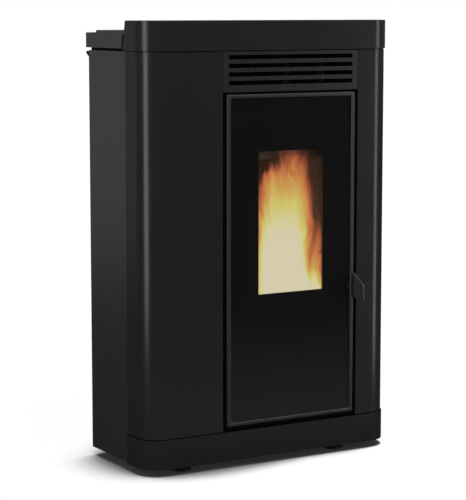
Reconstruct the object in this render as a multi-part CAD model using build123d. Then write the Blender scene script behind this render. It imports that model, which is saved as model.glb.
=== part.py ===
from build123d import *
import math
import os

os.makedirs("parts", exist_ok=True)

# A slim pellet stove. Millimetres, +Z up, the front faces -Y.
# Every y below is measured back from the face of the front panels, and every z up from the floor.
# write() shifts each piece so that the origin is the bottom centre of the whole stove.

# ---- casing
panel_width = 752.0          # across the two front panels, outside to outside
casing_depth = 330.0         # face of the front panels to the rear of the top channel
total_height = 1163.0        # floor to the top of the crown
foot_gap = 18.0              # floor to the underside of the plinth
crown_height = 76.0
plinth_height = 77.0
corner_radius = 57.0         # of the front corners, on the face of the panels
trim_proud = 3.0             # crown and plinth stand this far out of the panels
sheet = 2.0                  # casing sheet
seam = 2.0                   # open joint between panels, crown and plinth
wrap_depth = 109.0           # how far the front panels reach back round each side
rear_overhang = 15.0         # top channel and rear lip behind the rear panel
crown_back_top = 104.0       # rear edge of the crown, at its top
crown_back_low = 119.0       # and at its lower edge
left_panel_width = 222.5     # left corner to the opening
right_panel_width = 111.0    # opening to the right corner
chassis_y = 33.0             # front face of the chassis frame and of the firebox flange
fold = 12.0                  # width of the folded edges of the sheets

# ---- top
top_step = 35.0              # crown top down to the top frame
lid_height = 9.7             # lid above the top frame
lid_width = 269.0
lid_front = 112.5
lid_back = 272.0
channel_front = 254.0
channel_ridge = 286.0        # where the top channel steps up
channel_step = 3.0
skirt_back = 302.0           # light shows through behind this, under the channel
top_seam = 5.0               # open joint between the top box and the side panels
lid_hinge_y = 279.0
lid_hinge_rise = 6.0         # hinge axis above the top frame

# ---- grille and door
grille_height = 105.0
grille_side_gap = 1.5
slot_count = 4
slot_pitch = 21.9
slot_height = 11.3
slot_length = 382.0
first_slot_drop = 15.5       # top edge of the grille to the middle of the first slot
door_side_gap = 12.0
door_top_gap = 6.0
door_low_gap = 13.0          # plinth to the door
bead_width = 10.0
bead_proud = 4.0             # bead in front of the panels
bead_depth = 3.5
door_back = 24.5
door_wall = 3.0
pane_thickness = 4.0
pane_seal_depth = 3.0
window_width = 200.0
window_height = 374.0
window_sill = 343.0          # door's lower edge to the window's lower edge
window_margin = 12.0         # steel cut-out beyond the clear window
rope_radius = 4.4
rope_seat = 0.8              # flat on the rope where it is glued to the door
hinge_inset = 11.0           # door edge to hinge axis
hinge_pin_radius = 4.0
pin_clearance = 0.05         # radial, every running fit
air_gap = 0.3                # between pieces that move past each other

# ---- handle, a flat plate on edge
handle_reach = 45.0          # in front of the bead
handle_plate = 4.0
handle_root_height = 65.0
handle_tip_height = 37.0
handle_drop = 313.0          # door's lower edge to the handle's lower edge
latch_pivot_y = 12.0
keeper_y = 41.0
keeper_radius = 3.0

# ---- firebox
firebox_width = 316.0
firebox_back = 240.0
firebox_bottom = 255.0
firebox_top = 872.0
firebox_wall = 4.0
flange_margin = 22.0
channel_depth = 10.0         # flue gas channel in the back of the firebox
hearth_z = 405.0
hearth_plate_thickness = 6.0
liner_thickness = 12.0
liner_top = 798.0
exchanger_height = 88.0
exchanger_tube_radius = 22.0
exchanger_tube_count = 5

# ---- burner
burner_width = 136.0
burner_front = 100.0
burner_back = 208.0
burner_bottom = 345.0
pot_wall = 4.0
pot_depth = 55.0
inlet_radius = 25.0
inlet_z = 378.0
inlet_reach = 45.0           # behind the rear panel
igniter_hole = 6.5
ash_drawer_height = 76.0

# ---- pellet feed
hopper_wall = 1.5
hopper_rim = 8.0             # flange round the mouth, outside the neck
hopper_left = -362.0
hopper_width = 194.0
hopper_front = 42.0
hopper_back = 298.0
hopper_shoulder_z = 700.0
hopper_neck_z = 1070.0
hopper_outlet_z = 440.0
mouth_width = 180.0
mouth_front = 124.0
mouth_back = 246.0
auger_start_x = -262.0
auger_start_z = 300.0
auger_angle = 45.0           # above the horizontal
auger_radius = 25.0
auger_shaft_radius = 8.0
auger_pitch = 40.0
auger_tube_gap = 1.0
auger_tube_wall = 2.0
outlet_left = -238.0
outlet_width = 56.0
outlet_depth = 48.0

# ---- blowers
flue_radius = 40.0
flue_wall = 2.0
flue_reach = 52.0            # behind the top channel
flue_z = 120.0
exhaust_axis_y = 165.0
exhaust_axis_z = 140.0
exhaust_radius = 75.0
exhaust_width = 70.0
impeller_radius = 60.0
room_axis_y = 212.0
room_axis_z = 128.0
room_radius = 76.0
room_width = 100.0
room_left = -142.0
rotor_radius = 58.0
motor_radius = 33.0
motor_length = 60.0
motor_shaft_radius = 4.0

# ---- controls
panel_x = 255.0
panel_y = 52.0
control_width = 150.0
control_depth = 56.0
key_radius = 7.0
key_recess = 0.5             # key tops below the bezel's face
key_cap = 3.0
key_stem_radius = 3.0
key_travel = 1.0
inlet_x = 300.0
mains_z = 112.0

# ---- feet
foot_radius = 27.0
foot_stud_radius = 5.0
foot_front_y = 48.0
foot_rear_y = 262.0
foot_left_x = -254.0
foot_right_x = 226.0
base_z = 22.0
base_sheet = 2.5
pan_depth = 32.0

# ---- places worked out from the sizes above
half_width = panel_width / 2
front_reach = bead_proud + handle_reach
front_y = front_reach - (front_reach + casing_depth + flue_reach) / 2
plinth_top = foot_gap + plinth_height
crown_bottom = total_height - crown_height
panel_bottom = plinth_top + seam
panel_top = crown_bottom - seam
opening_left = left_panel_width - half_width
opening_right = half_width - right_panel_width
rear_y = casing_depth - rear_overhang
frame_top = total_height - top_step
box_bottom = crown_bottom + top_seam
door_left = opening_left + door_side_gap
door_right = opening_right - door_side_gap
door_x = (door_left + door_right) / 2
grille_bottom = panel_top - grille_height
door_top = grille_bottom - door_top_gap
door_bottom = plinth_top + door_low_gap
window_bottom = door_bottom + window_sill
window_top = window_bottom + window_height
pane_front = bead_depth - bead_proud
pane_back = pane_front + pane_thickness
cavity_half = firebox_width / 2 - firebox_wall
cavity_back = firebox_back - 2 * firebox_wall - channel_depth
cavity_bottom = firebox_bottom + firebox_wall
cavity_top = firebox_top - firebox_wall
hearth_top = hearth_z + hearth_plate_thickness
chassis_back = chassis_y + sheet
base_top = base_z + base_sheet
auger_bore = auger_radius + auger_tube_gap
auger_tube_radius = auger_bore + auger_tube_wall
auger_y = firebox_back + auger_tube_radius + 2
outlet_front = auger_y - outlet_depth / 2
auger_dir = Vector(math.cos(math.radians(auger_angle)), 0, math.sin(math.radians(auger_angle)))
auger_start = Vector(auger_start_x, auger_y, auger_start_z)
auger_length = (door_x - auger_start_x) / auger_dir.X
auger_end = auger_start + auger_dir * auger_length
exhaust_left = door_x - exhaust_width / 2
exhaust_right = door_x + exhaust_width / 2
handle_bottom = door_bottom + handle_drop
latch_z = handle_bottom + handle_root_height / 2
hinge_x = door_left + hinge_inset
hinge_y = (pane_back + door_back) / 2


# ---------------------------------------------------------------- shared shapes
def block(x0, x1, y0, y1, z0, z1):
    """Rectangular block between two opposite corners."""
    centre = ((x0 + x1) / 2, (y0 + y1) / 2, (z0 + z1) / 2)
    return Pos(*centre) * Box(x1 - x0, y1 - y0, z1 - z0)


def rod(start, end, radius):
    """Round bar from one point to another."""
    line = Vector(*end) - Vector(*start)
    section = Plane(origin=start, z_dir=line) * Circle(radius)
    return extrude(section, amount=line.length)


def pipe(start, end, radius, wall):
    """Round tube from one point to another."""
    line = (Vector(*end) - Vector(*start)).normalized()
    inner_start = Vector(*start) - line
    inner_end = Vector(*end) + line
    bore = rod(tuple(inner_start), tuple(inner_end), radius - wall)
    return rod(start, end, radius) - bore


def yz_plate(points, x0, x1):
    """Plate of an outline drawn in Y and Z, between two x places."""
    outline = Plane.YZ * make_face(Polyline(*points, close=True))
    return Pos(x0, 0, 0) * extrude(outline, amount=x1 - x0)


def casing_plan(inset, back):
    """The casing seen from above: rounded front corners, square at the back."""
    outline = Pos(0, (inset + back) / 2) * Rectangle(panel_width - 2 * inset, back - inset)
    front_corners = outline.vertices().sort_by(Axis.Y)[:2]
    return fillet(front_corners, corner_radius - inset)


def band(inset, thickness, back, z0, z1):
    """Sheet bent round the front of the casing, open at the back."""
    ring = casing_plan(inset, back) - casing_plan(inset + thickness, back + 1)
    return Pos(0, 0, z0) * extrude(ring, amount=z1 - z0)


def tray(x0, x1, y0, y1, z0, z1, wall):
    """Sheet box with an open top."""
    inside = block(x0 + wall, x1 - wall, y0 + wall, y1 - wall, z0 + wall, z1 + 1)
    return block(x0, x1, y0, y1, z0, z1) - inside


def ring_plate(x0, x1, y0, y1, z0, z1, margin):
    """Upright frame of one width round a rectangular opening."""
    hole = block(x0 + margin, x1 - margin, y0 - 1, y1 + 1, z0 + margin, z1 - margin)
    return block(x0, x1, y0, y1, z0, z1) - hole


def funnel(z0, z1, low, high):
    """Solid between two rectangles, each (x0, x1, y0, y1)."""
    faces = []
    for z, (x0, x1, y0, y1) in ((z0, low), (z1, high)):
        faces.append(Pos((x0 + x1) / 2, (y0 + y1) / 2, z) * Rectangle(x1 - x0, y1 - y0))
    return loft(faces, ruled=True)


def grown(rectangle, by):
    """A rectangle (x0, x1, y0, y1) made larger on every side."""
    x0, x1, y0, y1 = rectangle
    return x0 - by, x1 + by, y0 - by, y1 + by


def four_walls(z0, z1, low, high, wall):
    """The four sheets between two outer rectangles, one above the other."""
    a0, a1, b0, b1 = low
    c0, c1, d0, d1 = high
    left = funnel(z0, z1, (a0, a0 + wall, b0, b1), (c0, c0 + wall, d0, d1))
    right = funnel(z0, z1, (a1 - wall, a1, b0, b1), (c1 - wall, c1, d0, d1))
    front = funnel(z0, z1, (a0 + wall, a1 - wall, b0, b0 + wall), (c0 + wall, c1 - wall, d0, d0 + wall))
    back = funnel(z0, z1, (a0 + wall, a1 - wall, b1 - wall, b1), (c0 + wall, c1 - wall, d1 - wall, d1))
    return [left, right, front, back]


def write(name, *solids):
    """Writes one piece, or a group of like pieces, moved to the stove's own origin."""
    placed = [Pos(0, front_y, 0) * solid for solid in solids]
    shape = placed[0] if len(placed) == 1 else Compound(children=placed)
    shape.label = name
    export_step(shape, f"parts/{name}.step")


# ---------------------------------------------------------------- casing
rear_screw_x = half_width - 9
rear_screw_z = [base_top + 40 + 200 * i for i in range(5)]
rear_screw_radius = 2.0


def rear_screw_cuts():
    """Clearance holes for the screws that hold the rear panel."""
    cuts = []
    for side in (-1, 1):
        for z in rear_screw_z:
            start = (side * rear_screw_x, rear_y - 12, z)
            cuts.append(rod(start, (side * rear_screw_x, rear_y + 1, z), rear_screw_radius + 0.1))
    return cuts


def rear_screws():
    """Pan-head screws through the rear panel into the side panels' rear folds."""
    screws = []
    for side in (-1, 1):
        for z in rear_screw_z:
            x = side * rear_screw_x
            shank = rod((x, rear_y - 7, z), (x, rear_y, z), rear_screw_radius)
            head = rod((x, rear_y, z), (x, rear_y + 2.2, z), 4.0)
            screws.append(shank + fillet(head.edges().sort_by(Axis.Y)[-1], 1.2))
    return screws


def plinth():
    """Bottom band with an inward lip at its top and near its bottom."""
    face = band(-trim_proud, sheet, wrap_depth, foot_gap, plinth_top)
    inner = sheet - trim_proud
    top_lip = band(inner, fold, wrap_depth, plinth_top - sheet, plinth_top)
    low_lip = band(inner, fold, wrap_depth, base_z - sheet, base_z)
    return face + top_lip + low_lip


def crown():
    """Hood over the front: band, top deck and a sloping rear edge, open below."""
    front = -trim_proud
    lean = [(front - 1, crown_bottom), (crown_back_low, crown_bottom),
            (crown_back_top, total_height), (front - 1, total_height)]
    span = half_width + trim_proud + 1
    plan = Pos(0, 0, crown_bottom) * extrude(casing_plan(front, crown_back_low), amount=crown_height)
    outer = plan & yz_plate(lean, -span, span)
    top_edges = outer.edges().filter_by(lambda e: e.center().Z > total_height - 0.01)
    outer = fillet(top_edges, 1.5)
    inside = [(front - 1, crown_bottom - 1), (crown_back_low - sheet, crown_bottom - 1),
              (crown_back_top - sheet, total_height - sheet), (front - 1, total_height - sheet)]
    inner_plan = extrude(casing_plan(front + sheet, crown_back_low), amount=crown_height)
    inner = (Pos(0, 0, crown_bottom - 1) * inner_plan) & yz_plate(inside, -span, span)
    side = half_width + trim_proud - sheet
    behind = block(-side, side, wrap_depth - 15, crown_back_low + 1, crown_bottom - 1, frame_top)
    bezel = control_bezel(0.2, total_height - sheet - 1, total_height + 1)
    return outer - inner - behind - bezel


def front_panel(x0, x1, edge):
    """One front panel: flat, bent round its corner, folded in at the opening and at the rear."""
    wrap = band(0, sheet, wrap_depth, panel_bottom, panel_top)
    panel = wrap & block(x0, x1, -1, wrap_depth + 1, panel_bottom, panel_top)
    inward = 1 if edge == opening_right else -1
    return_x = sorted((edge, edge + inward * sheet))
    opening_fold = block(*return_x, 0, chassis_y, panel_bottom, panel_top)
    side = -1 if edge == opening_left else 1
    fold_x = sorted((side * half_width, side * (half_width - fold)))
    rear_fold = block(*fold_x, wrap_depth - sheet, wrap_depth, panel_bottom, panel_top)
    return panel + opening_fold + rear_fold


def side_panel(side):
    """Flat rear part of one side, folded in at its front and rear edges."""
    face_x = sorted((side * half_width, side * (half_width - sheet)))
    front_x = sorted((side * (half_width - sheet), side * (half_width - fold)))
    rear_x = sorted((side * half_width, side * (half_width - fold - 5)))
    low = base_z + pan_depth + 1
    face = block(*face_x, wrap_depth + 1, rear_y - sheet, base_z, panel_top)
    joggle_x = sorted((side * (half_width - sheet), side * (half_width - 2 * sheet)))
    joggle = block(*joggle_x, wrap_depth, wrap_depth + 2 * sheet, low, panel_top)
    front_fold = block(*front_x, wrap_depth, wrap_depth + sheet, low, panel_top)
    rear_fold = block(*rear_x, rear_y - 2 * sheet, rear_y - sheet, low, panel_top)
    panel = face + joggle + front_fold + rear_fold
    for cut in rear_screw_cuts():
        panel = panel - cut
    return panel


def rear_panel():
    """Rear sheet with its cut-outs, air slots and flared top lip."""
    edge = half_width - 0.5
    flare_z = crown_bottom - 20
    sheet_face = block(-edge, edge, rear_y - sheet, rear_y, base_z, flare_z + 1)
    lip_top = crown_bottom - 4.5
    lip = [(rear_y - sheet, flare_z), (rear_y, flare_z), (casing_depth, flare_z + 10),
           (casing_depth, lip_top), (casing_depth - sheet, lip_top),
           (casing_depth - sheet, flare_z + 11)]
    panel = sheet_face + yz_plate(lip, -edge, edge)
    cuts = rear_screw_cuts()
    back = rear_y + 1
    cuts.append(rod((door_x, rear_y - 5, flue_z), (door_x, back, flue_z), flue_radius + 5))
    cuts.append(rod((door_x, rear_y - 5, inlet_z), (door_x, back, inlet_z), inlet_radius + 2))
    cuts.append(block(inlet_x - 23, inlet_x + 23, rear_y - 5, back, mains_z - 14, mains_z + 14))
    for row in range(10):
        for x in (-300, -180):
            z = base_top + 50 + 16 * row
            cuts.append(block(x, x + 100, rear_y - 5, back, z, z + 6))
    for row in range(8):
        z = crown_bottom - 180 + 16 * row
        cuts.append(block(door_x - 120, door_x + 120, rear_y - 5, back, z, z + 6))
    for cut in cuts:
        panel = panel - cut
    return panel


def base_frame():
    """Pan that carries the stove, with a threaded boss over each foot."""
    outer = Pos(0, 0, base_z) * extrude(casing_plan(sheet, rear_y - 2 * sheet), amount=pan_depth)
    inner_plan = casing_plan(sheet + base_sheet, rear_y - 2 * sheet - base_sheet)
    pan = outer - Pos(0, 0, base_top) * extrude(inner_plan, amount=pan_depth)
    for x, y in foot_places():
        pan = pan + rod((x, y, base_top), (x, y, base_top + 12), 11)
    for x, y in foot_places():
        pan = pan - rod((x, y, base_z - 1), (x, y, base_top + 13), foot_stud_radius + pin_clearance)
    return pan


def chassis_frame():
    """Upright sheet behind the front panels that the casing and the firebox fasten to."""
    face = block(opening_left - 20, opening_right + 20, chassis_y, chassis_back,
                 base_top, total_height - sheet)
    flange = firebox_width / 2 + flange_margin + 1
    face = face - block(door_x - flange, door_x + flange, chassis_y - 1, chassis_back + 1,
                        firebox_bottom - flange_margin - 1, firebox_top + flange_margin + 1)
    duct = duct_box(0.5)
    face = face - block(duct[0], duct[1], chassis_y - 1, chassis_back + 1, duct[2], duct[3])
    hook_slot = block(door_right - 8, door_right + 10, chassis_y - 1, chassis_back + 1,
                      latch_z - 30, latch_z + 14)
    return face - hook_slot - control_bezel(7, total_height - sheet - 12, total_height)


def heat_shield():
    """Upright sheet between the hopper and the fire side."""
    x = opening_left + 4
    shield = block(x, x + sheet, chassis_back, rear_y - sheet, 300, panel_top)
    return shield - rod(tuple(auger_start), tuple(auger_end), auger_tube_radius + 4)


# ---------------------------------------------------------------- top
def top_frame():
    """Box behind the crown that the lid and the cover lie on, with the hopper's mouth."""
    front = crown_back_top - 4
    outer = block(-half_width, half_width, front, channel_front, box_bottom, frame_top)
    inner = block(sheet - half_width, half_width - sheet, front - 1, channel_front + 1,
                  box_bottom - 1, frame_top - sheet)
    frame = outer - inner
    for side in (-1, 1):
        skirt_x = sorted((side * (half_width - sheet), side * (half_width - 2 * sheet)))
        frame = frame + block(*skirt_x, wrap_depth + 6, channel_front, panel_top - 15, frame_top)
    left, right = mouth_sides()
    frame = frame - block(left, right, mouth_front, mouth_back, frame_top - 5, frame_top + 5)
    for row in range(6):
        y = mouth_front + 8 + 18 * row
        frame = frame - block(40, 320, y, y + 8, frame_top - 5, frame_top + 5)
    return frame


def mouth_sides():
    """Left and right edges of the hopper's mouth."""
    left = hopper_left + (hopper_width - mouth_width) / 2
    return left, left + mouth_width


def hinge_places():
    """x of the middle of each lid hinge."""
    return [sheet - half_width + 50, sheet - half_width + lid_width - 50]


def rear_channel():
    """Overhanging channel along the rear of the top, open below, with the lid's hinge eyes."""
    outer = block(-half_width, half_width, channel_front, casing_depth, box_bottom, frame_top)
    ridge = block(-half_width, half_width, channel_ridge, casing_depth, frame_top,
                  frame_top + channel_step)
    inner = block(sheet - half_width, half_width - sheet, channel_front, casing_depth - sheet,
                  box_bottom - 1, frame_top - sheet)
    under_ridge = block(sheet - half_width, half_width - sheet, channel_ridge + sheet,
                        casing_depth - sheet, frame_top - sheet - 1, frame_top + channel_step - sheet)
    channel = outer + ridge - inner - under_ridge
    for side in (-1, 1):
        skirt_x = sorted((side * (half_width - sheet), side * (half_width - 2 * sheet)))
        channel = channel + block(*skirt_x, channel_front, skirt_back, panel_top - 15,
                                  frame_top - sheet)
    axis_z = frame_top + lid_hinge_rise
    for x in hinge_places():
        for side in (-1, 1):
            eye_x = sorted((x + side * 8, x + side * 20))
            eye = rod((eye_x[0], lid_hinge_y, axis_z), (eye_x[1], lid_hinge_y, axis_z), 3.6)
            foot = block(*eye_x, lid_hinge_y - 3, lid_hinge_y + 3, frame_top, axis_z)
            channel = channel + eye + foot
        pin = rod((x - 9, lid_hinge_y, axis_z), (x + 9, lid_hinge_y, axis_z), 1.8)
        channel = channel + pin
    return channel


def pan_cover(x0, x1, rim_bottom):
    """Shallow sheet cover with a turned-down rim all round."""
    top = frame_top + lid_height
    outer = block(x0, x1, lid_front, lid_back, rim_bottom, top)
    outer = fillet(outer.edges().group_by(Axis.Z)[-1], 1.2)
    inner = block(x0 + sheet, x1 - sheet, lid_front + sheet, lid_back - sheet,
                  rim_bottom - 1, top - sheet)
    return outer - inner


def hopper_lid():
    """Lid over the hopper's mouth, with a hinge tongue at each hinge."""
    left = 0.5 - half_width
    lid = pan_cover(left, left + lid_width, frame_top + air_gap)
    axis_z = frame_top + lid_hinge_rise
    for x in hinge_places():
        tongue = block(x - 7, x + 7, lid_back - sheet, lid_hinge_y, axis_z - 1.5, axis_z + 3.6)
        eye = rod((x - 7, lid_hinge_y, axis_z), (x + 7, lid_hinge_y, axis_z), 3.6)
        lid = lid + tongue + eye
    for x in hinge_places():
        bore = rod((x - 8, lid_hinge_y, axis_z), (x + 8, lid_hinge_y, axis_z), 1.8 + pin_clearance)
        lid = lid - bore
    return lid


def top_cover():
    """Fixed cover on the right, with slots for warm air."""
    left = 0.5 - half_width + lid_width + 2
    cover = pan_cover(left, half_width - 0.5, frame_top)
    for row in range(6):
        y = mouth_front + 8 + 18 * row
        for x in (40, 140, 240):
            cover = cover - block(x, x + 80, y, y + 6, frame_top + 2, frame_top + 20)
    return cover


def lid_gasket():
    """Rubber strip round the hopper's mouth, under the lid."""
    left, right = mouth_sides()
    seal_top = frame_top + lid_height - sheet - air_gap
    outer = block(left - 10, right + 10, mouth_front - 8, mouth_back + 8, frame_top, seal_top)
    return outer - block(left - 2, right + 2, mouth_front - 1, mouth_back + 1,
                         frame_top - 1, seal_top + 1)


# ---------------------------------------------------------------- grille and warm air
def duct_box(by):
    """Outside of the warm air duct as (x0, x1, z0, z1), grown by a clearance."""
    return (opening_left + 6 - by, opening_right - 6 + by,
            grille_bottom + 8 - by, panel_top - 4 + by)


def air_grille():
    """Folded plate with a stack of long slots."""
    left = opening_left + grille_side_gap
    right = opening_right - grille_side_gap
    plate = block(left, right, 0, sheet, grille_bottom, panel_top)
    plate = fillet(plate.edges().group_by(Axis.Y)[0], 0.8)
    rim = ring_plate(left, right, sheet / 2, chassis_y, grille_bottom, panel_top, sheet)
    plate = plate + rim
    middle = (left + right) / 2
    for row in range(slot_count):
        z = panel_top - first_slot_drop - slot_pitch * row
        plate = plate - block(middle - slot_length / 2, middle + slot_length / 2, -1, sheet + 1,
                              z - slot_height / 2, z + slot_height / 2)
    return plate


def air_duct():
    """Sheet hood from the heat exchanger's tubes to the grille, with three upright vanes."""
    x0, x1, z0, z1 = duct_box(0)
    outer = block(x0, x1, 14, 190, z0, z1)
    inner = block(x0 + 1.5, x1 - 1.5, 13, 188.5, z0 + 1.5, z1 - 1.5)
    exchanger_top = firebox_top + exchanger_height
    throat = block(door_x - 120, door_x + 120, 60, 180, exchanger_top, z0 + 3)
    throat_hole = block(door_x - 118, door_x + 118, 62, 178, exchanger_top - 1, z0 + 5)
    duct = outer - inner + throat - throat_hole
    for place in (-1, 0, 1):
        x = door_x + place * 110
        duct = duct + block(x, x + 1.5, 18, 60, z0, z1)
    return duct


# ---------------------------------------------------------------- door
def door_frame():
    """Welded door: rounded bead, side walls, steel back with the window cut-out and its sleeve."""
    frame = block(door_left, door_right, -bead_proud, door_back, door_bottom, door_top)
    frame = fillet(frame.edges().filter_by(Axis.Y), 3.0)
    rim_hole = block(door_left + bead_width, door_right - bead_width, -bead_proud - 1, pane_front + 1,
                     door_bottom + bead_width, door_top - bead_width)
    frame = frame - rim_hole
    frame = fillet(frame.edges().group_by(Axis.Y)[0], 2.6)
    pocket = block(door_left + door_wall, door_right - door_wall, pane_front, door_back - 2.5,
                   door_bottom + door_wall, door_top - door_wall)
    frame = frame - pocket
    half = window_width / 2 + window_margin
    low = window_bottom - window_margin
    high = window_top + window_margin
    cut = block(door_x - half, door_x + half, pane_back, door_back + 1, low, high)
    sleeve = ring_plate(door_x - half - sheet, door_x + half + sheet, pane_back + pane_seal_depth,
                        door_back - 1, low - sheet, high + sheet, sheet)
    frame = frame - cut + sleeve
    for low_z, high_z in ((door_bottom, door_bottom + 24), (door_top - 24, door_top)):
        frame = frame + block(door_left + 1, door_left + 22, pane_back, door_back - 1,
                              low_z + 1, high_z - 1)
    reach = hinge_pin_radius + pin_clearance
    for start_z, end_z in ((door_bottom - 1, door_bottom + 20), (door_top + 1, door_top - 20)):
        frame = frame - rod((hinge_x, hinge_y, start_z), (hinge_x, hinge_y, end_z), reach)
    boss = block(door_right - door_wall - 12, door_right - 1, latch_pivot_y - 9, latch_pivot_y + 9,
                 latch_z - 9, latch_z + 9)
    pivot_hole = rod((door_right - 16, latch_pivot_y, latch_z), (door_right + 1, latch_pivot_y, latch_z),
                     4 + pin_clearance)
    return frame + boss - pivot_hole


def door_glass():
    """Ceramic pane behind the bead."""
    gap = 0.5
    pane = block(door_left + door_wall + gap, door_right - door_wall - gap, pane_front, pane_back,
                 door_bottom + door_wall + gap, door_top - door_wall - gap)
    notch = block(door_right - door_wall - 14, door_right, latch_pivot_y - 10, pane_back + 1,
                  latch_z - 10, latch_z + 10)
    return pane - notch


def pane_seal():
    """Flat seal between the pane and the window sleeve."""
    half = window_width / 2 + window_margin + 6
    return ring_plate(door_x - half, door_x + half, pane_back, pane_back + pane_seal_depth,
                      window_bottom - window_margin - 6, window_top + window_margin + 6, 8)


def pane_clips():
    """Six folded clips that press the pane against the bead."""
    clips = []
    for z in (door_bottom + 120, (door_bottom + door_top) / 2 + 90, door_top - 120):
        for side in (-1, 1):
            wall_x = door_x + side * ((door_right - door_left) / 2 - door_wall)
            tongue_x = sorted((wall_x, wall_x - side * 16))
            foot_x = sorted((wall_x, wall_x - side * 2))
            tongue = block(*tongue_x, pane_back, pane_back + 2, z, z + 24)
            foot = block(*foot_x, pane_back, door_back - 2.5, z, z + 24)
            clips.append(tongue + foot)
    return clips


def rope_gasket():
    """Rope seal on the door's back, round the firebox opening."""
    out = 13.0
    width = 2 * (cavity_half + out)
    height = cavity_top - cavity_bottom + 2 * out
    middle_z = (cavity_top + cavity_bottom) / 2
    rope_y = door_back + rope_radius - rope_seat
    plane = Plane(origin=(door_x, rope_y, middle_z), x_dir=(1, 0, 0), z_dir=(0, -1, 0))
    path = (plane * RectangleRounded(width, height, 20)).wire()
    start = path @ 0
    section = Plane(origin=start, z_dir=path % 0) * Circle(rope_radius)
    seat = block(door_left, door_right, door_back - 5, door_back, door_bottom, door_top)
    return sweep(section, path) - seat


def door_hinges():
    """Fixed hinge plates in the gaps above and below the door, each with its pin."""
    plates = []
    for edge, turn in ((door_top, 1), (door_bottom, -1)):
        near = edge + turn * 1.5
        far = near + turn * 3
        plate_z = sorted((near, far))
        plate = block(hinge_x - 9, hinge_x + 9, hinge_y, chassis_y, *plate_z)
        nose = rod((hinge_x, hinge_y, plate_z[0]), (hinge_x, hinge_y, plate_z[1]), 9)
        pin = rod((hinge_x, hinge_y, far), (hinge_x, hinge_y, edge - turn * 18), hinge_pin_radius)
        plates.append(plate + nose + pin)
    return plates


def door_handle():
    """Flat lever on edge: fin in front, pivot stub in the door, hook behind."""
    x0 = door_right + 0.6
    x1 = x0 + handle_plate
    root = -bead_proud
    tip = root - handle_reach
    low = handle_bottom
    hook_back = keeper_y + keeper_radius + 5
    outline = [(tip, low), (tip, low + handle_tip_height), (root, low + handle_root_height),
               (root + 6, low + handle_root_height), (root + 8, latch_z + 8),
               (hook_back, latch_z + 8), (hook_back, latch_z - 9),
               (root + 8, latch_z - 9), (root + 6, low), (root, low)]
    lever = yz_plate(outline, x0, x1)
    soft = [e for e in lever.edges().filter_by(Axis.X) if e.center().Y < root - 1]
    lever = fillet(soft, 2.0)
    reach = keeper_y - latch_pivot_y
    ring = rod((x0 - 1, latch_pivot_y, latch_z), (x1 + 1, latch_pivot_y, latch_z),
               reach + keeper_radius + 0.6)
    ring = ring - rod((x0 - 2, latch_pivot_y, latch_z), (x1 + 2, latch_pivot_y, latch_z),
                      reach - keeper_radius - 0.6)
    wedge = block(x0 - 3, x1 + 3, latch_pivot_y, hook_back + 20, latch_z - 0.6, latch_z + 40)
    notch_floor = rod((x0 - 3, keeper_y, latch_z), (x1 + 3, keeper_y, latch_z), keeper_radius + 0.6)
    lever = lever - (ring & wedge) - notch_floor
    stub = rod((x1, latch_pivot_y, latch_z), (door_right - 14, latch_pivot_y, latch_z), 4)
    return lever + stub


def latch_keeper():
    """Bracket behind the chassis frame with the pin that the hook holds."""
    x0 = door_right - 6
    x1 = door_right + 9
    cheek_back = keeper_y + 7
    bracket = block(x0 - 3, x0, chassis_back, cheek_back, latch_z - 12, latch_z + 12)
    bracket = bracket + block(x1, x1 + 3, chassis_back, cheek_back, latch_z - 12, latch_z + 12)
    ears = block(x0 - 9, x0, chassis_back, chassis_back + 3, latch_z - 12, latch_z + 12)
    ears = ears + block(x1, x1 + 9, chassis_back, chassis_back + 3, latch_z - 12, latch_z + 12)
    pin = rod((x0 - 1, keeper_y, latch_z), (x1 + 1, keeper_y, latch_z), keeper_radius)
    return bracket + ears + pin


# ---------------------------------------------------------------- firebox
def firebox_backs():
    """The inner and outer back plates, with the gas channel between them and the chute's sleeve."""
    channel_front_y = cavity_back + firebox_wall
    outer_front_y = firebox_back - firebox_wall
    left = door_x - cavity_half
    right = door_x + cavity_half
    inner = block(left, right, cavity_back, channel_front_y, cavity_bottom, cavity_top)
    outer = block(left, right, outer_front_y, firebox_back, cavity_bottom, cavity_top)
    sleeve = block(door_x - 31, door_x + 31, channel_front_y, outer_front_y, *grown_z(sleeve_z(), 3))
    igniter_x = igniter_place()
    front = cavity_back - 1
    back = firebox_back + 1
    cuts = [block(door_x - 28, door_x + 28, front, back, *sleeve_z())]
    cuts.append(rod((door_x, front, inlet_z), (door_x, back, inlet_z), inlet_radius + 0.2))
    cuts.append(rod((igniter_x, front, inlet_z), (igniter_x, back, inlet_z), igniter_hole))
    return [plate - cuts for plate in (inner, outer, sleeve)]


def flange_bars():
    """The four bars of the front flange, by which the box is fastened to the chassis frame."""
    half = firebox_width / 2
    left = door_x - half - flange_margin
    right = door_x + half + flange_margin
    low = firebox_bottom - flange_margin
    high = firebox_top + flange_margin
    bar = flange_margin + firebox_wall
    across = (left + bar, right - bar)
    thick = (chassis_y, chassis_y + firebox_wall)
    uprights = [block(left, left + bar, *thick, low, high), block(right - bar, right, *thick, low, high)]
    return uprights + [block(*across, *thick, low, low + bar), block(*across, *thick, high - bar, high)]


def firebox_legs():
    """Four legs, each an upright with a foot on the base pan."""
    half = firebox_width / 2
    pieces = []
    for side in (-1, 1):
        wall = door_x + side * half
        rear_leg = room_axis_y - room_radius - 36 if side < 0 else firebox_back - 38
        for y in (chassis_y + 8, rear_leg):
            upright_x = sorted((wall, wall - side * 3))
            foot_x = sorted((wall - side * 3, wall - side * 25))
            pieces.append(block(*upright_x, y, y + 30, base_top, firebox_bottom))
            pieces.append(block(*foot_x, y, y + 30, base_top, base_top + 3))
    return pieces


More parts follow.
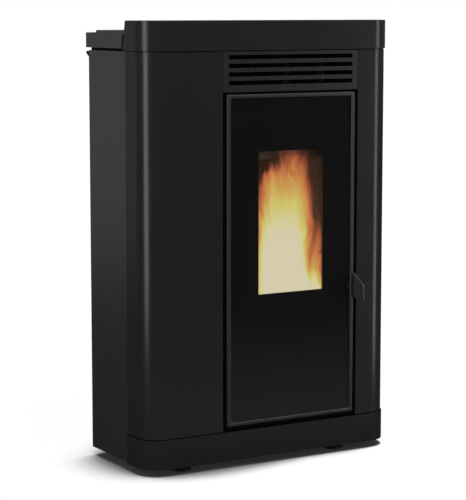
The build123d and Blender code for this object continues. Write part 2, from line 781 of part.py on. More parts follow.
def firebox():
    """Welded steel box open at the front, with a flue gas channel in its back and four legs."""
    half = firebox_width / 2
    front = chassis_y + firebox_wall
    channel_front_y = cavity_back + firebox_wall
    floor = block(door_x - cavity_half, door_x + cavity_half, front, firebox_back, firebox_bottom,
                  cavity_bottom)
    inlet = exhaust_inlet_box()
    floor = floor - block(inlet[0] + 2, inlet[1] - 2, channel_front_y, channel_front_y + channel_depth,
                          firebox_bottom - 1, cavity_bottom + 1)
    roof = block(door_x - cavity_half, door_x + cavity_half, front, firebox_back, cavity_top, firebox_top)
    roof = roof - block(door_x - 110, door_x + 110, 70, cavity_back - 20, cavity_top - 1, firebox_top + 1)
    roof = roof - block(door_x - 120, door_x + 120, channel_front_y, channel_front_y + channel_depth,
                        cavity_top - 1, firebox_top + 1)
    plates = flange_bars() + [floor, roof]
    for side in (-1, 1):
        wall_x = sorted((door_x + side * half, door_x + side * cavity_half))
        ledge_x = sorted((door_x + side * cavity_half, door_x + side * (cavity_half - 8)))
        plates.append(block(*wall_x, front, firebox_back, firebox_bottom, firebox_top))
        plates.append(block(*ledge_x, front, cavity_back, hearth_z - 4, hearth_z))
    return plates + firebox_backs() + firebox_legs()


def sleeve_z():
    """Lower and upper edge of the chute's way through the firebox back."""
    middle = auger_end.Z - 28 - (auger_y - 6 - (cavity_back + firebox_back) / 2)
    return middle - 50, middle + 50


def grown_z(pair, by):
    """A pair of levels moved apart."""
    return pair[0] - by, pair[1] + by


def igniter_place():
    """x of the igniter, beside the combustion air tube."""
    return door_x + inlet_radius + 20


def rear_lining():
    """Cast lining against the firebox back, ribbed, with the chute's opening."""
    front = cavity_back - liner_thickness
    side = cavity_half - liner_thickness
    plate = block(door_x - side, door_x + side, front, cavity_back, hearth_top, liner_top)
    for i in range(-5, 6):
        x = door_x + 24 * i
        plate = plate - block(x - 3, x + 3, front - 1, front + 4, hearth_top + 15, liner_top - 15)
    low, high = sleeve_z()
    return plate - block(door_x - 34, door_x + 34, front - 1, cavity_back + 1, low - 22, high)


def side_lining(side):
    """Cast lining against one firebox side, with a raised border."""
    wall = door_x + side * cavity_half
    face = wall - side * liner_thickness
    plate = block(*sorted((wall, face)), chassis_y + 6, cavity_back, hearth_top, liner_top)
    panel = block(*sorted((face - side, face + side * 3)), chassis_y + 22, cavity_back - 22,
                  hearth_top + 18, liner_top - 18)
    return plate - panel


def baffle():
    """Plate that lies on the side linings under the gas outlet, with a fold at its front."""
    half = cavity_half - 3
    plate = block(door_x - half, door_x + half, 80, cavity_back - 2, liner_top, liner_top + 5)
    return plate + block(door_x - half, door_x + half, 80, 85, liner_top, liner_top + 22)


def hearth_plate():
    """Cast floor of the fire space, with a hole for the burner box and ash slots in front of it."""
    half = cavity_half - 0.5
    plate = block(door_x - half, door_x + half, chassis_y + 5, cavity_back - 0.5, hearth_z, hearth_top)
    burner = burner_width / 2 + 0.5
    plate = plate - block(door_x - burner, door_x + burner, burner_front - 0.5, burner_back + 0.5,
                          hearth_z - 1, hearth_top + 1)
    for i in range(-6, 7):
        x = door_x + 19 * i
        plate = plate - block(x - 3, x + 3, 50, burner_front - 18, hearth_z - 1, hearth_top + 1)
    return plate


def burner_box():
    """Steel box that hangs in the hearth plate, fed with air from behind, and holds the pot."""
    half = burner_width / 2
    box = tray(door_x - half, door_x + half, burner_front, burner_back, burner_bottom, hearth_top, 2)
    rim = block(door_x - half - 8, door_x + half + 8, burner_front - 8, burner_back + 1.5,
                hearth_top, hearth_top + 2)
    rim = rim - block(door_x - half + 2, door_x + half - 2, burner_front + 2, burner_back - 2,
                      hearth_top - 1, hearth_top + 3)
    box = box + rim
    box = box - rod((door_x, burner_back - 3, inlet_z), (door_x, burner_back + 1, inlet_z),
                    inlet_radius - 2)
    igniter_x = igniter_place()
    igniter_cut = rod((igniter_x, burner_back - 3, inlet_z), (igniter_x, burner_back + 1, inlet_z),
                      igniter_hole)
    return box - igniter_cut


def pot_inside():
    """Inside of the burn pot as (x0, x1, y0, y1)."""
    return door_x - 50, door_x + 50, burner_front + 12, burner_back - 16


def burn_pot():
    """Cast pot with a flange on the burner box and rows of air holes."""
    inside = pot_inside()
    rim_z = hearth_top + 2
    outside = grown(inside, pot_wall)
    body = block(*outside, rim_z - pot_depth, rim_z + 8)
    rim = block(*grown(inside, 12), rim_z, rim_z + pot_wall)
    body = body + rim - block(*inside, rim_z - pot_depth + pot_wall, rim_z + 9)
    x0, _, y0, y1 = inside
    for i in range(6):
        for j in range(4):
            x = x0 + 12.5 + 15 * i
            y = y0 + 13 + 18 * j
            body = body - rod((x, y, rim_z - pot_depth - 1), (x, y, rim_z - pot_depth + pot_wall + 1), 2.5)
    for i in range(6):
        x = x0 + 12.5 + 15 * i
        z = rim_z - 18
        body = body - rod((x, y0 - pot_wall - 1, z), (x, y1 + pot_wall + 1, z), 2)
    return body


def ash_drawer():
    """Open tray on the firebox floor, with a folded grip at its front."""
    half = cavity_half - 12
    top = cavity_bottom + ash_drawer_height
    drawer = tray(door_x - half, door_x + half, chassis_y + 10, cavity_back - 8, cavity_bottom, top, 1.5)
    grip = block(door_x - 50, door_x + 50, chassis_y + 2, chassis_y + 11, top - 14, top - 12.5)
    lip = block(door_x - 50, door_x + 50, chassis_y + 2, chassis_y + 3.5, top - 22, top - 12.5)
    return drawer + grip + lip


def heat_exchanger():
    """Box on the firebox crossed by air tubes, open below to the hot gas."""
    half = firebox_width / 2
    top = firebox_top + exchanger_height
    shell = block(door_x - half, door_x + half, 50, firebox_back, firebox_top, top)
    inside = block(door_x - half + 3, door_x + half - 3, 53, firebox_back - 3, firebox_top - 1, top - 3)
    box = shell - inside
    middle_z = firebox_top + exchanger_height / 2
    pitch = (firebox_width - 20) / exchanger_tube_count
    for i in range(exchanger_tube_count):
        x = door_x + pitch * (i - (exchanger_tube_count - 1) / 2)
        box = box + rod((x, 50, middle_z), (x, firebox_back, middle_z), exchanger_tube_radius)
    for i in range(exchanger_tube_count):
        x = door_x + pitch * (i - (exchanger_tube_count - 1) / 2)
        box = box - rod((x, 49, middle_z), (x, firebox_back + 1, middle_z), exchanger_tube_radius - 2)
    return box


# ---------------------------------------------------------------- pellet feed
def hopper():
    """Pellet tank of welded sheets: outlet funnel, straight body, neck and rim at the mouth."""
    outlet = (outlet_left, outlet_left + outlet_width, outlet_front, outlet_front + outlet_depth)
    body = (hopper_left, hopper_left + hopper_width, hopper_front, hopper_back)
    left, right = mouth_sides()
    opening = (left, right, mouth_front, mouth_back)
    mouth = grown(opening, hopper_wall)
    rim = grown(mouth, hopper_rim)
    rim_top = frame_top - sheet
    rim_bottom = rim_top - hopper_wall
    sheets = four_walls(hopper_outlet_z, hopper_shoulder_z, outlet, body, hopper_wall)
    sheets += four_walls(hopper_shoulder_z, hopper_neck_z, body, body, hopper_wall)
    sheets += four_walls(hopper_neck_z, rim_bottom, body, mouth, hopper_wall)
    sheets += four_walls(rim_bottom, rim_top, rim, rim, hopper_rim + hopper_wall)
    return sheets


def auger_tube():
    """Sloping feed tube with a flange for the gearmotor and the collar under the hopper."""
    tube = rod(tuple(auger_start), tuple(auger_end - auger_dir * 14), auger_tube_radius)
    flange = rod(tuple(auger_start - auger_dir * 2), tuple(auger_start + auger_dir * 1),
                 auger_tube_radius + 10)
    outlet = (outlet_left, outlet_left + outlet_width, outlet_front, outlet_front + outlet_depth)
    low = auger_start_z + (outlet_left + outlet_width / 2 - auger_start_x)
    collar = block(*outlet, low, hopper_outlet_z)
    bore = rod(tuple(auger_start - auger_dir * 3), tuple(auger_end), auger_bore)
    inside = block(*grown(outlet, -hopper_wall), low, hopper_outlet_z + 1)
    return tube + flange + collar - inside - bore


def auger_screw():
    """Shaft with one helical flight."""
    flight_length = auger_length - 30
    shaft_length = auger_length + 10
    shaft = Pos(0, 0, -32) * Cylinder(auger_shaft_radius, shaft_length,
                                      align=(Align.CENTER, Align.CENTER, Align.MIN))
    middle = (auger_radius + auger_shaft_radius) / 2
    width = auger_radius - auger_shaft_radius + 1
    path = Helix(pitch=auger_pitch, height=flight_length, radius=middle)
    section = Plane(origin=path @ 0, z_dir=path % 0, x_dir=(1, 0, 0)) * Rectangle(width, 2.5)
    flight = Pos(0, 0, 6) * sweep(section, path, is_frenet=True)
    plane = Plane(origin=auger_start, x_dir=(0, 1, 0), z_dir=auger_dir)
    return plane.location * (shaft + flight)


def auger_gearmotor():
    """Gearbox on the tube's flange with its motor behind."""
    gearbox = Pos(0, 0, -27) * Box(70, 60, 50)
    gearbox = fillet(gearbox.edges().filter_by(Axis.Z), 6)
    motor = Pos(0, 0, -82) * Cylinder(28, 60)
    motor = fillet(motor.edges().sort_by(Axis.Z)[0], 4)
    bore = Pos(0, 0, -18) * Cylinder(auger_shaft_radius + pin_clearance, 34)
    plane = Plane(origin=auger_start, x_dir=(0, 1, 0), z_dir=auger_dir)
    return plane.location * (gearbox + motor - bore)


def feed_chute():
    """Box at the top of the auger tube with a square spout that slopes into the firebox."""
    top = auger_end.Z + 45
    low = auger_end.Z - 48
    box = block(door_x - 34, door_x + 34, firebox_back, auger_y + 32, low, top)
    spout_top = Vector(door_x, auger_y - 6, auger_end.Z - 28)
    slope = Vector(0, -1, -1).normalized()
    plane = Plane(origin=spout_top, x_dir=(1, 0, 0), z_dir=slope)
    spout = plane.location * Pos(0, 0, 50) * Box(50, 44, 110)
    spout_bore = plane.location * Pos(0, 0, 52) * Box(47, 41, 150)
    inside = block(door_x - 32, door_x + 32, firebox_back + 2, auger_y + 30, low + 2, top - 2)
    tube_hole = rod(tuple(auger_start), tuple(auger_end), auger_tube_radius)
    behind = block(door_x - 40, door_x + 40, auger_y + 32, auger_y + 120, low - 60, top + 90)
    chute = box + (spout - behind) - inside - tube_hole - spout_bore
    largest = chute.solids().sort_by(SortBy.VOLUME)[-1]
    return largest


# ---------------------------------------------------------------- air and flue gas
def exhaust_inlet_box():
    """Inlet box of the exhaust blower as (x0, x1, y0, y1)."""
    return exhaust_left - 50, exhaust_left, 120, firebox_back


def exhaust_housing():
    """Scroll with a square outlet to the flue and an inlet box up to the firebox."""
    axis_start = (exhaust_left, exhaust_axis_y, exhaust_axis_z)
    axis_end = (exhaust_right, exhaust_axis_y, exhaust_axis_z)
    outlet_back = rear_y - 60
    low = exhaust_axis_z - exhaust_radius
    scroll = rod(axis_start, axis_end, exhaust_radius)
    scroll = scroll + block(exhaust_left, exhaust_right, exhaust_axis_y, outlet_back, low, exhaust_axis_z)
    inner_start = (exhaust_left + 2, exhaust_axis_y, exhaust_axis_z)
    inner_end = (exhaust_right - 2, exhaust_axis_y, exhaust_axis_z)
    hollow = rod(inner_start, inner_end, exhaust_radius - 2)
    hollow = hollow + block(exhaust_left + 2, exhaust_right - 2, exhaust_axis_y, outlet_back + 1, low + 2,
                            exhaust_axis_z - 2)
    x0, x1, y0, y1 = exhaust_inlet_box()
    inlet = block(x0, x1, y0, y1, exhaust_axis_z - 45, firebox_bottom)
    inlet_hollow = block(x0 + 2, x1 - 2, y0 + 2, y1 - 2, exhaust_axis_z - 43, firebox_bottom + 1)
    eye = rod((exhaust_left - 3, exhaust_axis_y, exhaust_axis_z),
              (exhaust_left + 3, exhaust_axis_y, exhaust_axis_z), 36)
    shaft_hole = rod((exhaust_right - 3, exhaust_axis_y, exhaust_axis_z),
                     (exhaust_right + 1, exhaust_axis_y, exhaust_axis_z), 10)
    flange = block(door_x - 46, door_x + 46, outlet_back, outlet_back + 4, flue_z - 56, flue_z + 46)
    flue_hole = rod((door_x, outlet_back - 1, flue_z), (door_x, outlet_back + 5, flue_z),
                    flue_radius - flue_wall)
    return scroll + inlet + flange - hollow - inlet_hollow - eye - shaft_hole - flue_hole


def exhaust_impeller():
    """Back plate, straight blades and a shaft that runs in the motor."""
    axis = (exhaust_axis_y, exhaust_axis_z)
    plate_x = exhaust_right - 12
    plate = rod((plate_x, *axis), (plate_x + 2, *axis), impeller_radius)
    hub = rod((plate_x - 16, *axis), (plate_x + 2, *axis), 11)
    wheel = plate + hub
    for i in range(8):
        blade = Pos(plate_x - 18, 0, (impeller_radius + 9) / 2) * Box(38, 2, impeller_radius - 9)
        wheel = wheel + Pos(0, *axis) * Rot(i * 45, 0, 0) * blade
    shaft = rod((plate_x, *axis), (exhaust_right + 30, *axis), 4)
    return wheel + shaft


def blower_motor(x, towards, axis):
    """Round motor beside a blower: mounting flange, can and a bored end for the shaft."""
    far = x + towards * motor_length
    flange = rod((x, *axis), (x + towards * 4, *axis), motor_radius + 8)
    can = rod((x, *axis), (far, *axis), motor_radius)
    can = fillet(can.edges().filter_by(GeomType.CIRCLE).sort_by(Axis.X)[0 if towards < 0 else -1], 5)
    bore = rod((x - towards, *axis), (x + towards * 34, *axis), motor_shaft_radius + pin_clearance)
    return flange + can - bore


def flue_spigot():
    """Round flue outlet from the blower's flange to behind the stove, with a ring on the rear panel."""
    start = rear_y - 60 + 4
    end = casing_depth + flue_reach
    spigot = pipe((door_x, start, flue_z), (door_x, end, flue_z), flue_radius, flue_wall)
    collar = pipe((door_x, start, flue_z), (door_x, start + 3, flue_z), flue_radius + 6, 8)
    rose = pipe((door_x, rear_y, flue_z), (door_x, rear_y + 3, flue_z), flue_radius + 10, 12)
    return spigot + collar + rose


def air_inlet():
    """Combustion air tube from behind the stove to the burner box, with a ring on the rear panel."""
    end = rear_y + inlet_reach
    tube = pipe((door_x, burner_back, inlet_z), (door_x, end, inlet_z), inlet_radius, 2)
    rose = pipe((door_x, rear_y, inlet_z), (door_x, rear_y + 3, inlet_z), inlet_radius + 7, 9)
    return tube + rose


def igniter():
    """Ceramic ignition rod with its holder against the firebox back."""
    x = igniter_place()
    element = rod((x, burner_back - 6, inlet_z), (x, firebox_back + 2, inlet_z), 5.5)
    holder = rod((x, firebox_back, inlet_z), (x, firebox_back + 18, inlet_z), 9)
    return element + holder


def room_housing():
    """Scroll of the room air blower, with an outlet up behind the firebox and a foot."""
    x0 = room_left
    x1 = room_left + room_width
    outlet_top = firebox_bottom - 3
    scroll = rod((x0, room_axis_y, room_axis_z), (x1, room_axis_y, room_axis_z), room_radius)
    outlet_y = (room_axis_y + 14, room_axis_y + room_radius)
    scroll = scroll + block(x0, x1, *outlet_y, room_axis_z, outlet_top)
    scroll = scroll + block(x0, x1, room_axis_y - 40, room_axis_y + 40, base_top, room_axis_z - 40)
    hollow = rod((x0 + 2, room_axis_y, room_axis_z), (x1 - 2, room_axis_y, room_axis_z), room_radius - 2)
    hollow = hollow + block(x0 + 2, x1 - 2, outlet_y[0] + 2, outlet_y[1] - 2, room_axis_z, outlet_top + 1)
    eye = rod((x1 - 3, room_axis_y, room_axis_z), (x1 + 1, room_axis_y, room_axis_z), 44)
    shaft_hole = rod((x0 - 1, room_axis_y, room_axis_z), (x0 + 3, room_axis_y, room_axis_z), 10)
    return scroll - hollow - eye - shaft_hole


def room_rotor():
    """Drum of curved-row blades between a disc and a ring, with its shaft."""
    axis = (room_axis_y, room_axis_z)
    x0 = room_left + 8
    x1 = room_left + room_width - 8
    disc = rod((x0, *axis), (x0 + 2, *axis), rotor_radius)
    hub = rod((x0, *axis), (x0 + 14, *axis), 12)
    ring = pipe((x1 - 4, *axis), (x1, *axis), rotor_radius, 12)
    drum = disc + hub + ring
    for i in range(20):
        blade = Pos((x0 + x1) / 2, 0, rotor_radius - 6) * Rot(25, 0, 0) * Box(x1 - x0, 1.6, 11)
        drum = drum + Pos(0, *axis) * Rot(i * 18, 0, 0) * blade
    shaft = rod((x0, *axis), (room_left - 30, *axis), 4)
    return drum + shaft


# ---------------------------------------------------------------- controls
def control_bezel(by, z0, z1):
    """Plan of the control panel's face as a block, grown by a clearance."""
    return block(panel_x - control_width / 2 - by, panel_x + control_width / 2 + by,
                 panel_y - control_depth / 2 - by, panel_y + control_depth / 2 + by, z0, z1)


def key_places():
    """x and y of each key."""
    return [(panel_x + 16 + 21 * i, panel_y) for i in range(3)]


def display_box(by, z0, z1):
    """Plan of the display window as a block, grown by a clearance."""
    return block(panel_x - 65 - by, panel_x - 5 + by, panel_y - 15 - by, panel_y + 15 + by, z0, z1)


def control_panel():
    """Flush bezel with a lip under the deck, bored for the keys."""
    low = total_height - sheet
    face = control_bezel(0, low, total_height)
    body = control_bezel(5, low - 10, low)
    panel = face + body - display_box(0.2, total_height - 1.5, total_height + 1)
    floor_z = total_height - key_recess - key_cap - key_travel - 0.5
    for x, y in key_places():
        panel = panel - rod((x, y, low - 11), (x, y, total_height + 1), key_stem_radius + pin_clearance)
        panel = panel - rod((x, y, floor_z), (x, y, total_height + 1), key_radius + air_gap)
    return panel


def display_window():
    """Dark clear window let into the bezel."""
    return display_box(0, total_height - 1.5, total_height)


def key(x, y):
    """Round key with a guide stem."""
    top = total_height - key_recess
    cap = rod((x, y, top - key_cap), (x, y, top), key_radius)
    cap = fillet(cap.edges().sort_by(Axis.Z)[-1], 0.6)
    return cap + rod((x, y, top - key_cap - 5.5), (x, y, top - key_cap + 0.5), key_stem_radius)


def control_board():
    """Circuit board on a tray fixed to the right side panel, with its larger components."""
    wall = half_width - sheet
    board_x = wall - 14
    board = block(board_x - 1.6, board_x, 150, 290, 560, 760)
    for y in (158, 282):
        for z in (568, 752):
            board = board + rod((board_x - 0.5, y, z), (wall, y, z), 4)
    for y0, y1, z0, z1, height in ((165, 195, 580, 620, 24), (205, 230, 580, 605, 18),
                                   (240, 275, 575, 640, 30), (165, 215, 650, 740, 8),
                                   (228, 276, 680, 740, 16)):
        board = board + block(board_x - 1.6 - height, board_x - 1, y0, y1, z0, z1)
    return board


def power_inlet():
    """Mains inlet in the rear panel: socket with three pins beside the switch's well."""
    x0 = inlet_x - 22.8
    x1 = inlet_x + 22.8
    body = block(x0, x1, rear_y - 30, rear_y, mains_z - 13.8, mains_z + 13.8)
    plate = block(inlet_x - 29, inlet_x + 29, rear_y, rear_y + 2.5, mains_z - 18, mains_z + 18)
    plate = fillet(plate.edges().group_by(Axis.Y)[-1], 0.8)
    body = body + plate
    body = body - block(x0 + 2, inlet_x + 3, rear_y - 18, rear_y + 3, mains_z - 9, mains_z + 9)
    well_x = switch_x()
    body = body - block(well_x - 6.6, well_x + 6.6, rear_y - 14, rear_y + 3, mains_z - 10.5, mains_z + 10.5)
    for i, z in ((-1, -3), (0, 3), (1, -3)):
        x = (x0 + 2 + inlet_x + 3) / 2 + 6.5 * i
        body = body + block(x - 1, x + 1, rear_y - 19, rear_y - 3, mains_z + z - 2, mains_z + z + 2)
    axle = rod((well_x - 8, rear_y - 3, mains_z), (well_x + 8, rear_y - 3, mains_z), 1.5)
    return body + axle


def switch_x():
    """x of the middle of the rocker switch."""
    return inlet_x + 13.5


def power_switch():
    """Rocker that tips on the axle across its well, drawn with its upper end pressed in."""
    x = switch_x()
    front = rear_y - 3
    outline = [(front - 5, -8.6), (front + 3.0, -9.2), (front + 4.6, 0), (front + 3.0, 9.2),
               (front - 5, 8.6)]
    points = [(y, mains_z + z) for y, z in outline]
    rocker = yz_plate(points, x - 6.2, x + 6.2)
    rocker = rocker - rod((x - 7, front, mains_z), (x + 7, front, mains_z), 1.5 + pin_clearance)
    axis = Axis((x, front, mains_z), (1, 0, 0))
    return rocker.rotate(axis, 6)


# ---------------------------------------------------------------- feet
def foot_places():
    """x and y of each foot, front left, front right, rear left, rear right."""
    return [(x, y) for y in (foot_front_y, foot_rear_y) for x in (foot_left_x, foot_right_x)]


def foot(x, y):
    """Levelling foot: wide pad, nut and threaded stud up through the base."""
    bottom = (Align.CENTER, Align.CENTER, Align.MIN)
    pad = Pos(x, y, 0) * Cone(foot_radius, foot_radius - 6, 9, align=bottom)
    pad = fillet(pad.edges().group_by(Axis.Z)[-1], 1.5)
    collar = rod((x, y, 8), (x, y, 13), 14)
    nut = Pos(x, y, 12) * extrude(RegularPolygon(9.5, 6), amount=base_z - air_gap - 12)
    stud = rod((x, y, 10), (x, y, base_top + 26), foot_stud_radius)
    return pad + collar + nut + stud


# ---------------------------------------------------------------- the pieces
write("base_frame", base_frame())
write("plinth", plinth())
write("left_front_panel", front_panel(-half_width - 1, opening_left, opening_left))
write("right_front_panel", front_panel(opening_right, half_width + 1, opening_right))
write("crown", crown())
write("left_side_panel", side_panel(-1))
write("right_side_panel", side_panel(1))
write("rear_panel", rear_panel())
write("rear_screws", *rear_screws())
write("chassis_frame", chassis_frame())
write("heat_shield", heat_shield())
write("top_frame", top_frame())
write("rear_channel", rear_channel())
write("top_cover", top_cover())
write("hopper_lid", hopper_lid())
write("lid_gasket", lid_gasket())
write("air_grille", air_grille())
write("air_duct", air_duct())
write("door_frame", door_frame())
write("door_glass", door_glass())
write("pane_clips", *pane_clips())
write("door_gaskets", rope_gasket(), pane_seal())
write("door_hinges", *door_hinges())
write("door_handle", door_handle())
write("latch_keeper", latch_keeper())
write("firebox", *firebox())
write("rear_lining", rear_lining())
write("side_linings", side_lining(-1), side_lining(1))
write("baffle", baffle())
write("hearth_plate", hearth_plate())
write("burner_box", burner_box())
write("burn_pot", burn_pot())
write("ash_drawer", ash_drawer())
write("heat_exchanger", heat_exchanger())
write("hopper", *hopper())
write("auger_tube", auger_tube())
write("auger_screw", auger_screw())
write("auger_gearmotor", auger_gearmotor())
write("feed_chute", feed_chute())
write("exhaust_housing", exhaust_housing())
write("exhaust_impeller", exhaust_impeller())
write("flue_spigot", flue_spigot())
write("air_inlet", air_inlet())
write("igniter", igniter())
write("room_housing", room_housing())
write("room_rotor", room_rotor())
write("blower_motors", blower_motor(exhaust_right, 1, (exhaust_axis_y, exhaust_axis_z)),
      blower_motor(room_left, -1, (room_axis_y, room_axis_z)))
write("control_board", control_board())
write("control_panel", control_panel())
write("display_window", display_window())
for number, (x, y) in enumerate(key_places(), start=1):
    write(f"key_{number}", key(x, y))
write("power_inlet", power_inlet())
write("power_switch", power_switch())
for name, (x, y) in zip(("front_left", "front_right", "rear_left", "rear_right"), foot_places()):
    write(f"foot_{name}", foot(x, y))
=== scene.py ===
import math
import random

import bmesh
import bpy
from mathutils import Matrix, Vector


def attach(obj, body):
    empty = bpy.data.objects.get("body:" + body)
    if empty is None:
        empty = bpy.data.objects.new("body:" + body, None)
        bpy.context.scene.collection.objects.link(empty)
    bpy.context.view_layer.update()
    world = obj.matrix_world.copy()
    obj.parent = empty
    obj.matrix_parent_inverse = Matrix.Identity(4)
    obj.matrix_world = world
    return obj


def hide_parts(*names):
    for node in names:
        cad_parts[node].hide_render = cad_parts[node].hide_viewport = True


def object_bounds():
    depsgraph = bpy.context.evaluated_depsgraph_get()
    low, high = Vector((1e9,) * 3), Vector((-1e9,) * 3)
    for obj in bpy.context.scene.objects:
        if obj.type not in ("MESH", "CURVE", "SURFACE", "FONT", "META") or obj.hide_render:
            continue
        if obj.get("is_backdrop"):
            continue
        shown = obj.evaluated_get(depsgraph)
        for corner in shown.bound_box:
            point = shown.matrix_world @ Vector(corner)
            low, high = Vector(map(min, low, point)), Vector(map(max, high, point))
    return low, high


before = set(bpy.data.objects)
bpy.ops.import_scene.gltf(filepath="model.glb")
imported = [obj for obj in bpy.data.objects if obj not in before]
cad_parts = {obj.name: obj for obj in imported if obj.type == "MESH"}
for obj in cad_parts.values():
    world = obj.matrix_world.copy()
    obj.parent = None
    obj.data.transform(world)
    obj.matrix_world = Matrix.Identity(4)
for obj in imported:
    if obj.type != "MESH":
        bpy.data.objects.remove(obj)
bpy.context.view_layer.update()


# ---------------------------------------- camera
# Stands a little above the crown, off the stove's front left corner, with a long lens so that the
# uprights stay nearly parallel. No shift and no depth of field.
camera_data = bpy.data.cameras.new("studio_camera")
camera_data.sensor_width = 36.0
camera_data.lens = 133.07
camera = bpy.data.objects.new("studio_camera", camera_data)
camera.location = (-2.563, -4.226, 1.191)
camera.rotation_euler = (math.radians(90 - 7.422), 0, math.radians(-31.006))
bpy.context.collection.objects.link(camera)
bpy.context.scene.camera = camera
bpy.context.scene.view_settings.view_transform = "Standard"


# ---------------------------------------- studio
# A pale floor that runs out to a white surround, one broad soft light overhead and two tall strip
# lights that draw the bright lines down the rounded corners. The floor's shadow round the stove is
# a painted shadow in its white glow. Reflections see a much dimmer floor and room, with a faint
# painted glow on the floor close to the stove's front.
def feed(tree, socket, value):
    """Sets a socket, or links it when the value is another node's output."""
    if isinstance(value, bpy.types.NodeSocket):
        tree.links.new(value, socket)
    else:
        socket.default_value = value


def put(tree, kind, sockets=(), **settings):
    """Adds a node, sets its options and fills its inputs by name or number."""
    node = tree.nodes.new(kind)
    for name, value in settings.items():
        setattr(node, name, value)
    for name, value in dict(sockets).items():
        feed(tree, node.inputs[name], value)
    return node


def calc(tree, operation, *values, clamp=False):
    """One Math node."""
    node = put(tree, "ShaderNodeMath", enumerate(values), operation=operation, use_clamp=clamp)
    return node.outputs[0]


def spread(tree, value, low, high, to_low=0.0, to_high=1.0, smooth=False):
    """Maps a value from one range to another, clamped."""
    kind = "SMOOTHSTEP" if smooth else "LINEAR"
    sockets = {"Value": value, "From Min": low, "From Max": high, "To Min": to_low, "To Max": to_high}
    return put(tree, "ShaderNodeMapRange", sockets, interpolation_type=kind).outputs["Result"]


def mixed(tree, factor, first, second, blend="MIX"):
    """Mixes two colours."""
    node = put(tree, "ShaderNodeMix", data_type="RGBA", blend_type=blend)
    feed(tree, node.inputs["Factor"], factor)
    feed(tree, node.inputs[6], first)
    feed(tree, node.inputs[7], second)
    return node.outputs[2]


def object_place(tree):
    """The point being shaded, in the object's own coordinates."""
    return put(tree, "ShaderNodeTexCoord").outputs["Object"]


def axes(tree, vector):
    """The X, Y and Z of a vector."""
    return put(tree, "ShaderNodeSeparateXYZ", {"Vector": vector}).outputs


def new_material(name):
    """An empty material: its tree and its output node."""
    made = bpy.data.materials.new(name)
    made.use_nodes = True
    made.node_tree.nodes.clear()
    output = made.node_tree.nodes.new("ShaderNodeOutputMaterial")
    return made, made.node_tree, output


def piece_from(mesh_work, name, finish, smooth=True):
    """Turns a bmesh into an object at the origin with one material."""
    mesh = bpy.data.meshes.new(name)
    mesh_work.to_mesh(mesh)
    mesh_work.free()
    for face in mesh.polygons:
        face.use_smooth = smooth
    mesh.materials.append(finish)
    made = bpy.data.objects.new(name, mesh)
    bpy.context.collection.objects.link(made)
    return made


white = (1.0, 1.0, 1.0, 1.0)
near_floor = (0.045, 0.045, 0.045, 1.0)
far_floor = (0.04, 0.04, 0.04, 1.0)
floor_lift = 0.96
floor_reach = 60.0
fade = (1.2, 3.0)
shadow_reach = 0.235
painted_shadow_y = (-0.42, -0.18)
painted_shadow_x = (0.10, -0.20)
gloss_level = 0.19
near_glow = 0.17

floor_finish, tree, output = new_material("studio_floor")
place = object_place(tree)
away = put(tree, "ShaderNodeVectorMath", {0: place}, operation="LENGTH").outputs["Value"]
part = axes(tree, place)
along = part["Y"]
paper = mixed(tree, spread(tree, away, *fade, smooth=True), near_floor, far_floor)
matt = put(tree, "ShaderNodeBsdfDiffuse", {"Color": paper})
# Painted shadow: ambient occlusion darkens the floor's white glow round the stove's foot, softer and wider
# along its left side.
near = put(tree, "ShaderNodeAmbientOcclusion", {"Distance": shadow_reach}, samples=24).outputs["AO"]
painted_shadow_left_side = calc(tree, "MULTIPLY", spread(tree, along, *painted_shadow_y), spread(tree, part["X"], *painted_shadow_x))
shadow_dark_at = spread(tree, painted_shadow_left_side, 0.0, 1.0, 0.49, 0.42)
shadow_clear_at = spread(tree, painted_shadow_left_side, 0.0, 1.0, 0.58, 0.90)
painted_contact_shadow = spread(tree, near, shadow_dark_at, shadow_clear_at, 0.02, 1.0, smooth=True)
far_lift = spread(tree, away, *fade, floor_lift, 1.0)
bright = calc(tree, "MULTIPLY", painted_contact_shadow, far_lift)
straight = spread(tree, calc(tree, "DIVIDE", along, away), 0.50, 0.85, smooth=True)
beyond = calc(tree, "MULTIPLY", spread(tree, along, 2.2, 5.2, smooth=True), straight)
path = tree.nodes.new("ShaderNodeLightPath").outputs
in_gloss = calc(tree, "MULTIPLY", path["Is Glossy Ray"], gloss_level)
mirrored = calc(tree, "MAXIMUM", in_gloss, path["Is Transmission Ray"])
# Painted light: only reflections see this faint glow on the floor in front of the stove.
painted_glow_in_front = calc(tree, "MULTIPLY", spread(tree, away, 2.4, 0.7, 0.0, near_glow),
                spread(tree, along, -0.2, -0.6))
to_camera = calc(tree, "MULTIPLY", path["Is Camera Ray"], bright)
seen_far = calc(tree, "MULTIPLY", mirrored, beyond)
painted_glow_seen = calc(tree, "MULTIPLY", path["Is Glossy Ray"], painted_glow_in_front)
lift = calc(tree, "ADD", calc(tree, "ADD", to_camera, seen_far), painted_glow_seen)
glow = put(tree, "ShaderNodeEmission", {"Color": white, "Strength": lift})
both = put(tree, "ShaderNodeAddShader", {0: matt.outputs[0], 1: glow.outputs[0]})
feed(tree, output.inputs["Surface"], both.outputs[0])
work = bmesh.new()
bmesh.ops.create_circle(work, cap_ends=True, segments=64, radius=floor_reach)
floor = piece_from(work, "studio_floor", floor_finish, smooth=False)
floor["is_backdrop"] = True

room_front = 0.11
room_right = 0.20
room_fill = 0.70
world = bpy.data.worlds.new("studio_room")
bpy.context.scene.world = world
world.use_nodes = True
tree = world.node_tree
tree.nodes.clear()
direction = put(tree, "ShaderNodeTexCoord").outputs["Generated"]
part = axes(tree, direction)
behind = spread(tree, part["Y"], 0.50, 0.85, room_front, gloss_level, smooth=True)
beside = spread(tree, part["X"], 0.55, 0.95, 0.0, room_right, smooth=True)
room = calc(tree, "MAXIMUM", behind, beside)
path = tree.nodes.new("ShaderNodeLightPath").outputs
lit = put(tree, "ShaderNodeMix", {"Factor": path["Is Diffuse Ray"], 2: room, 3: room_fill}).outputs[0]
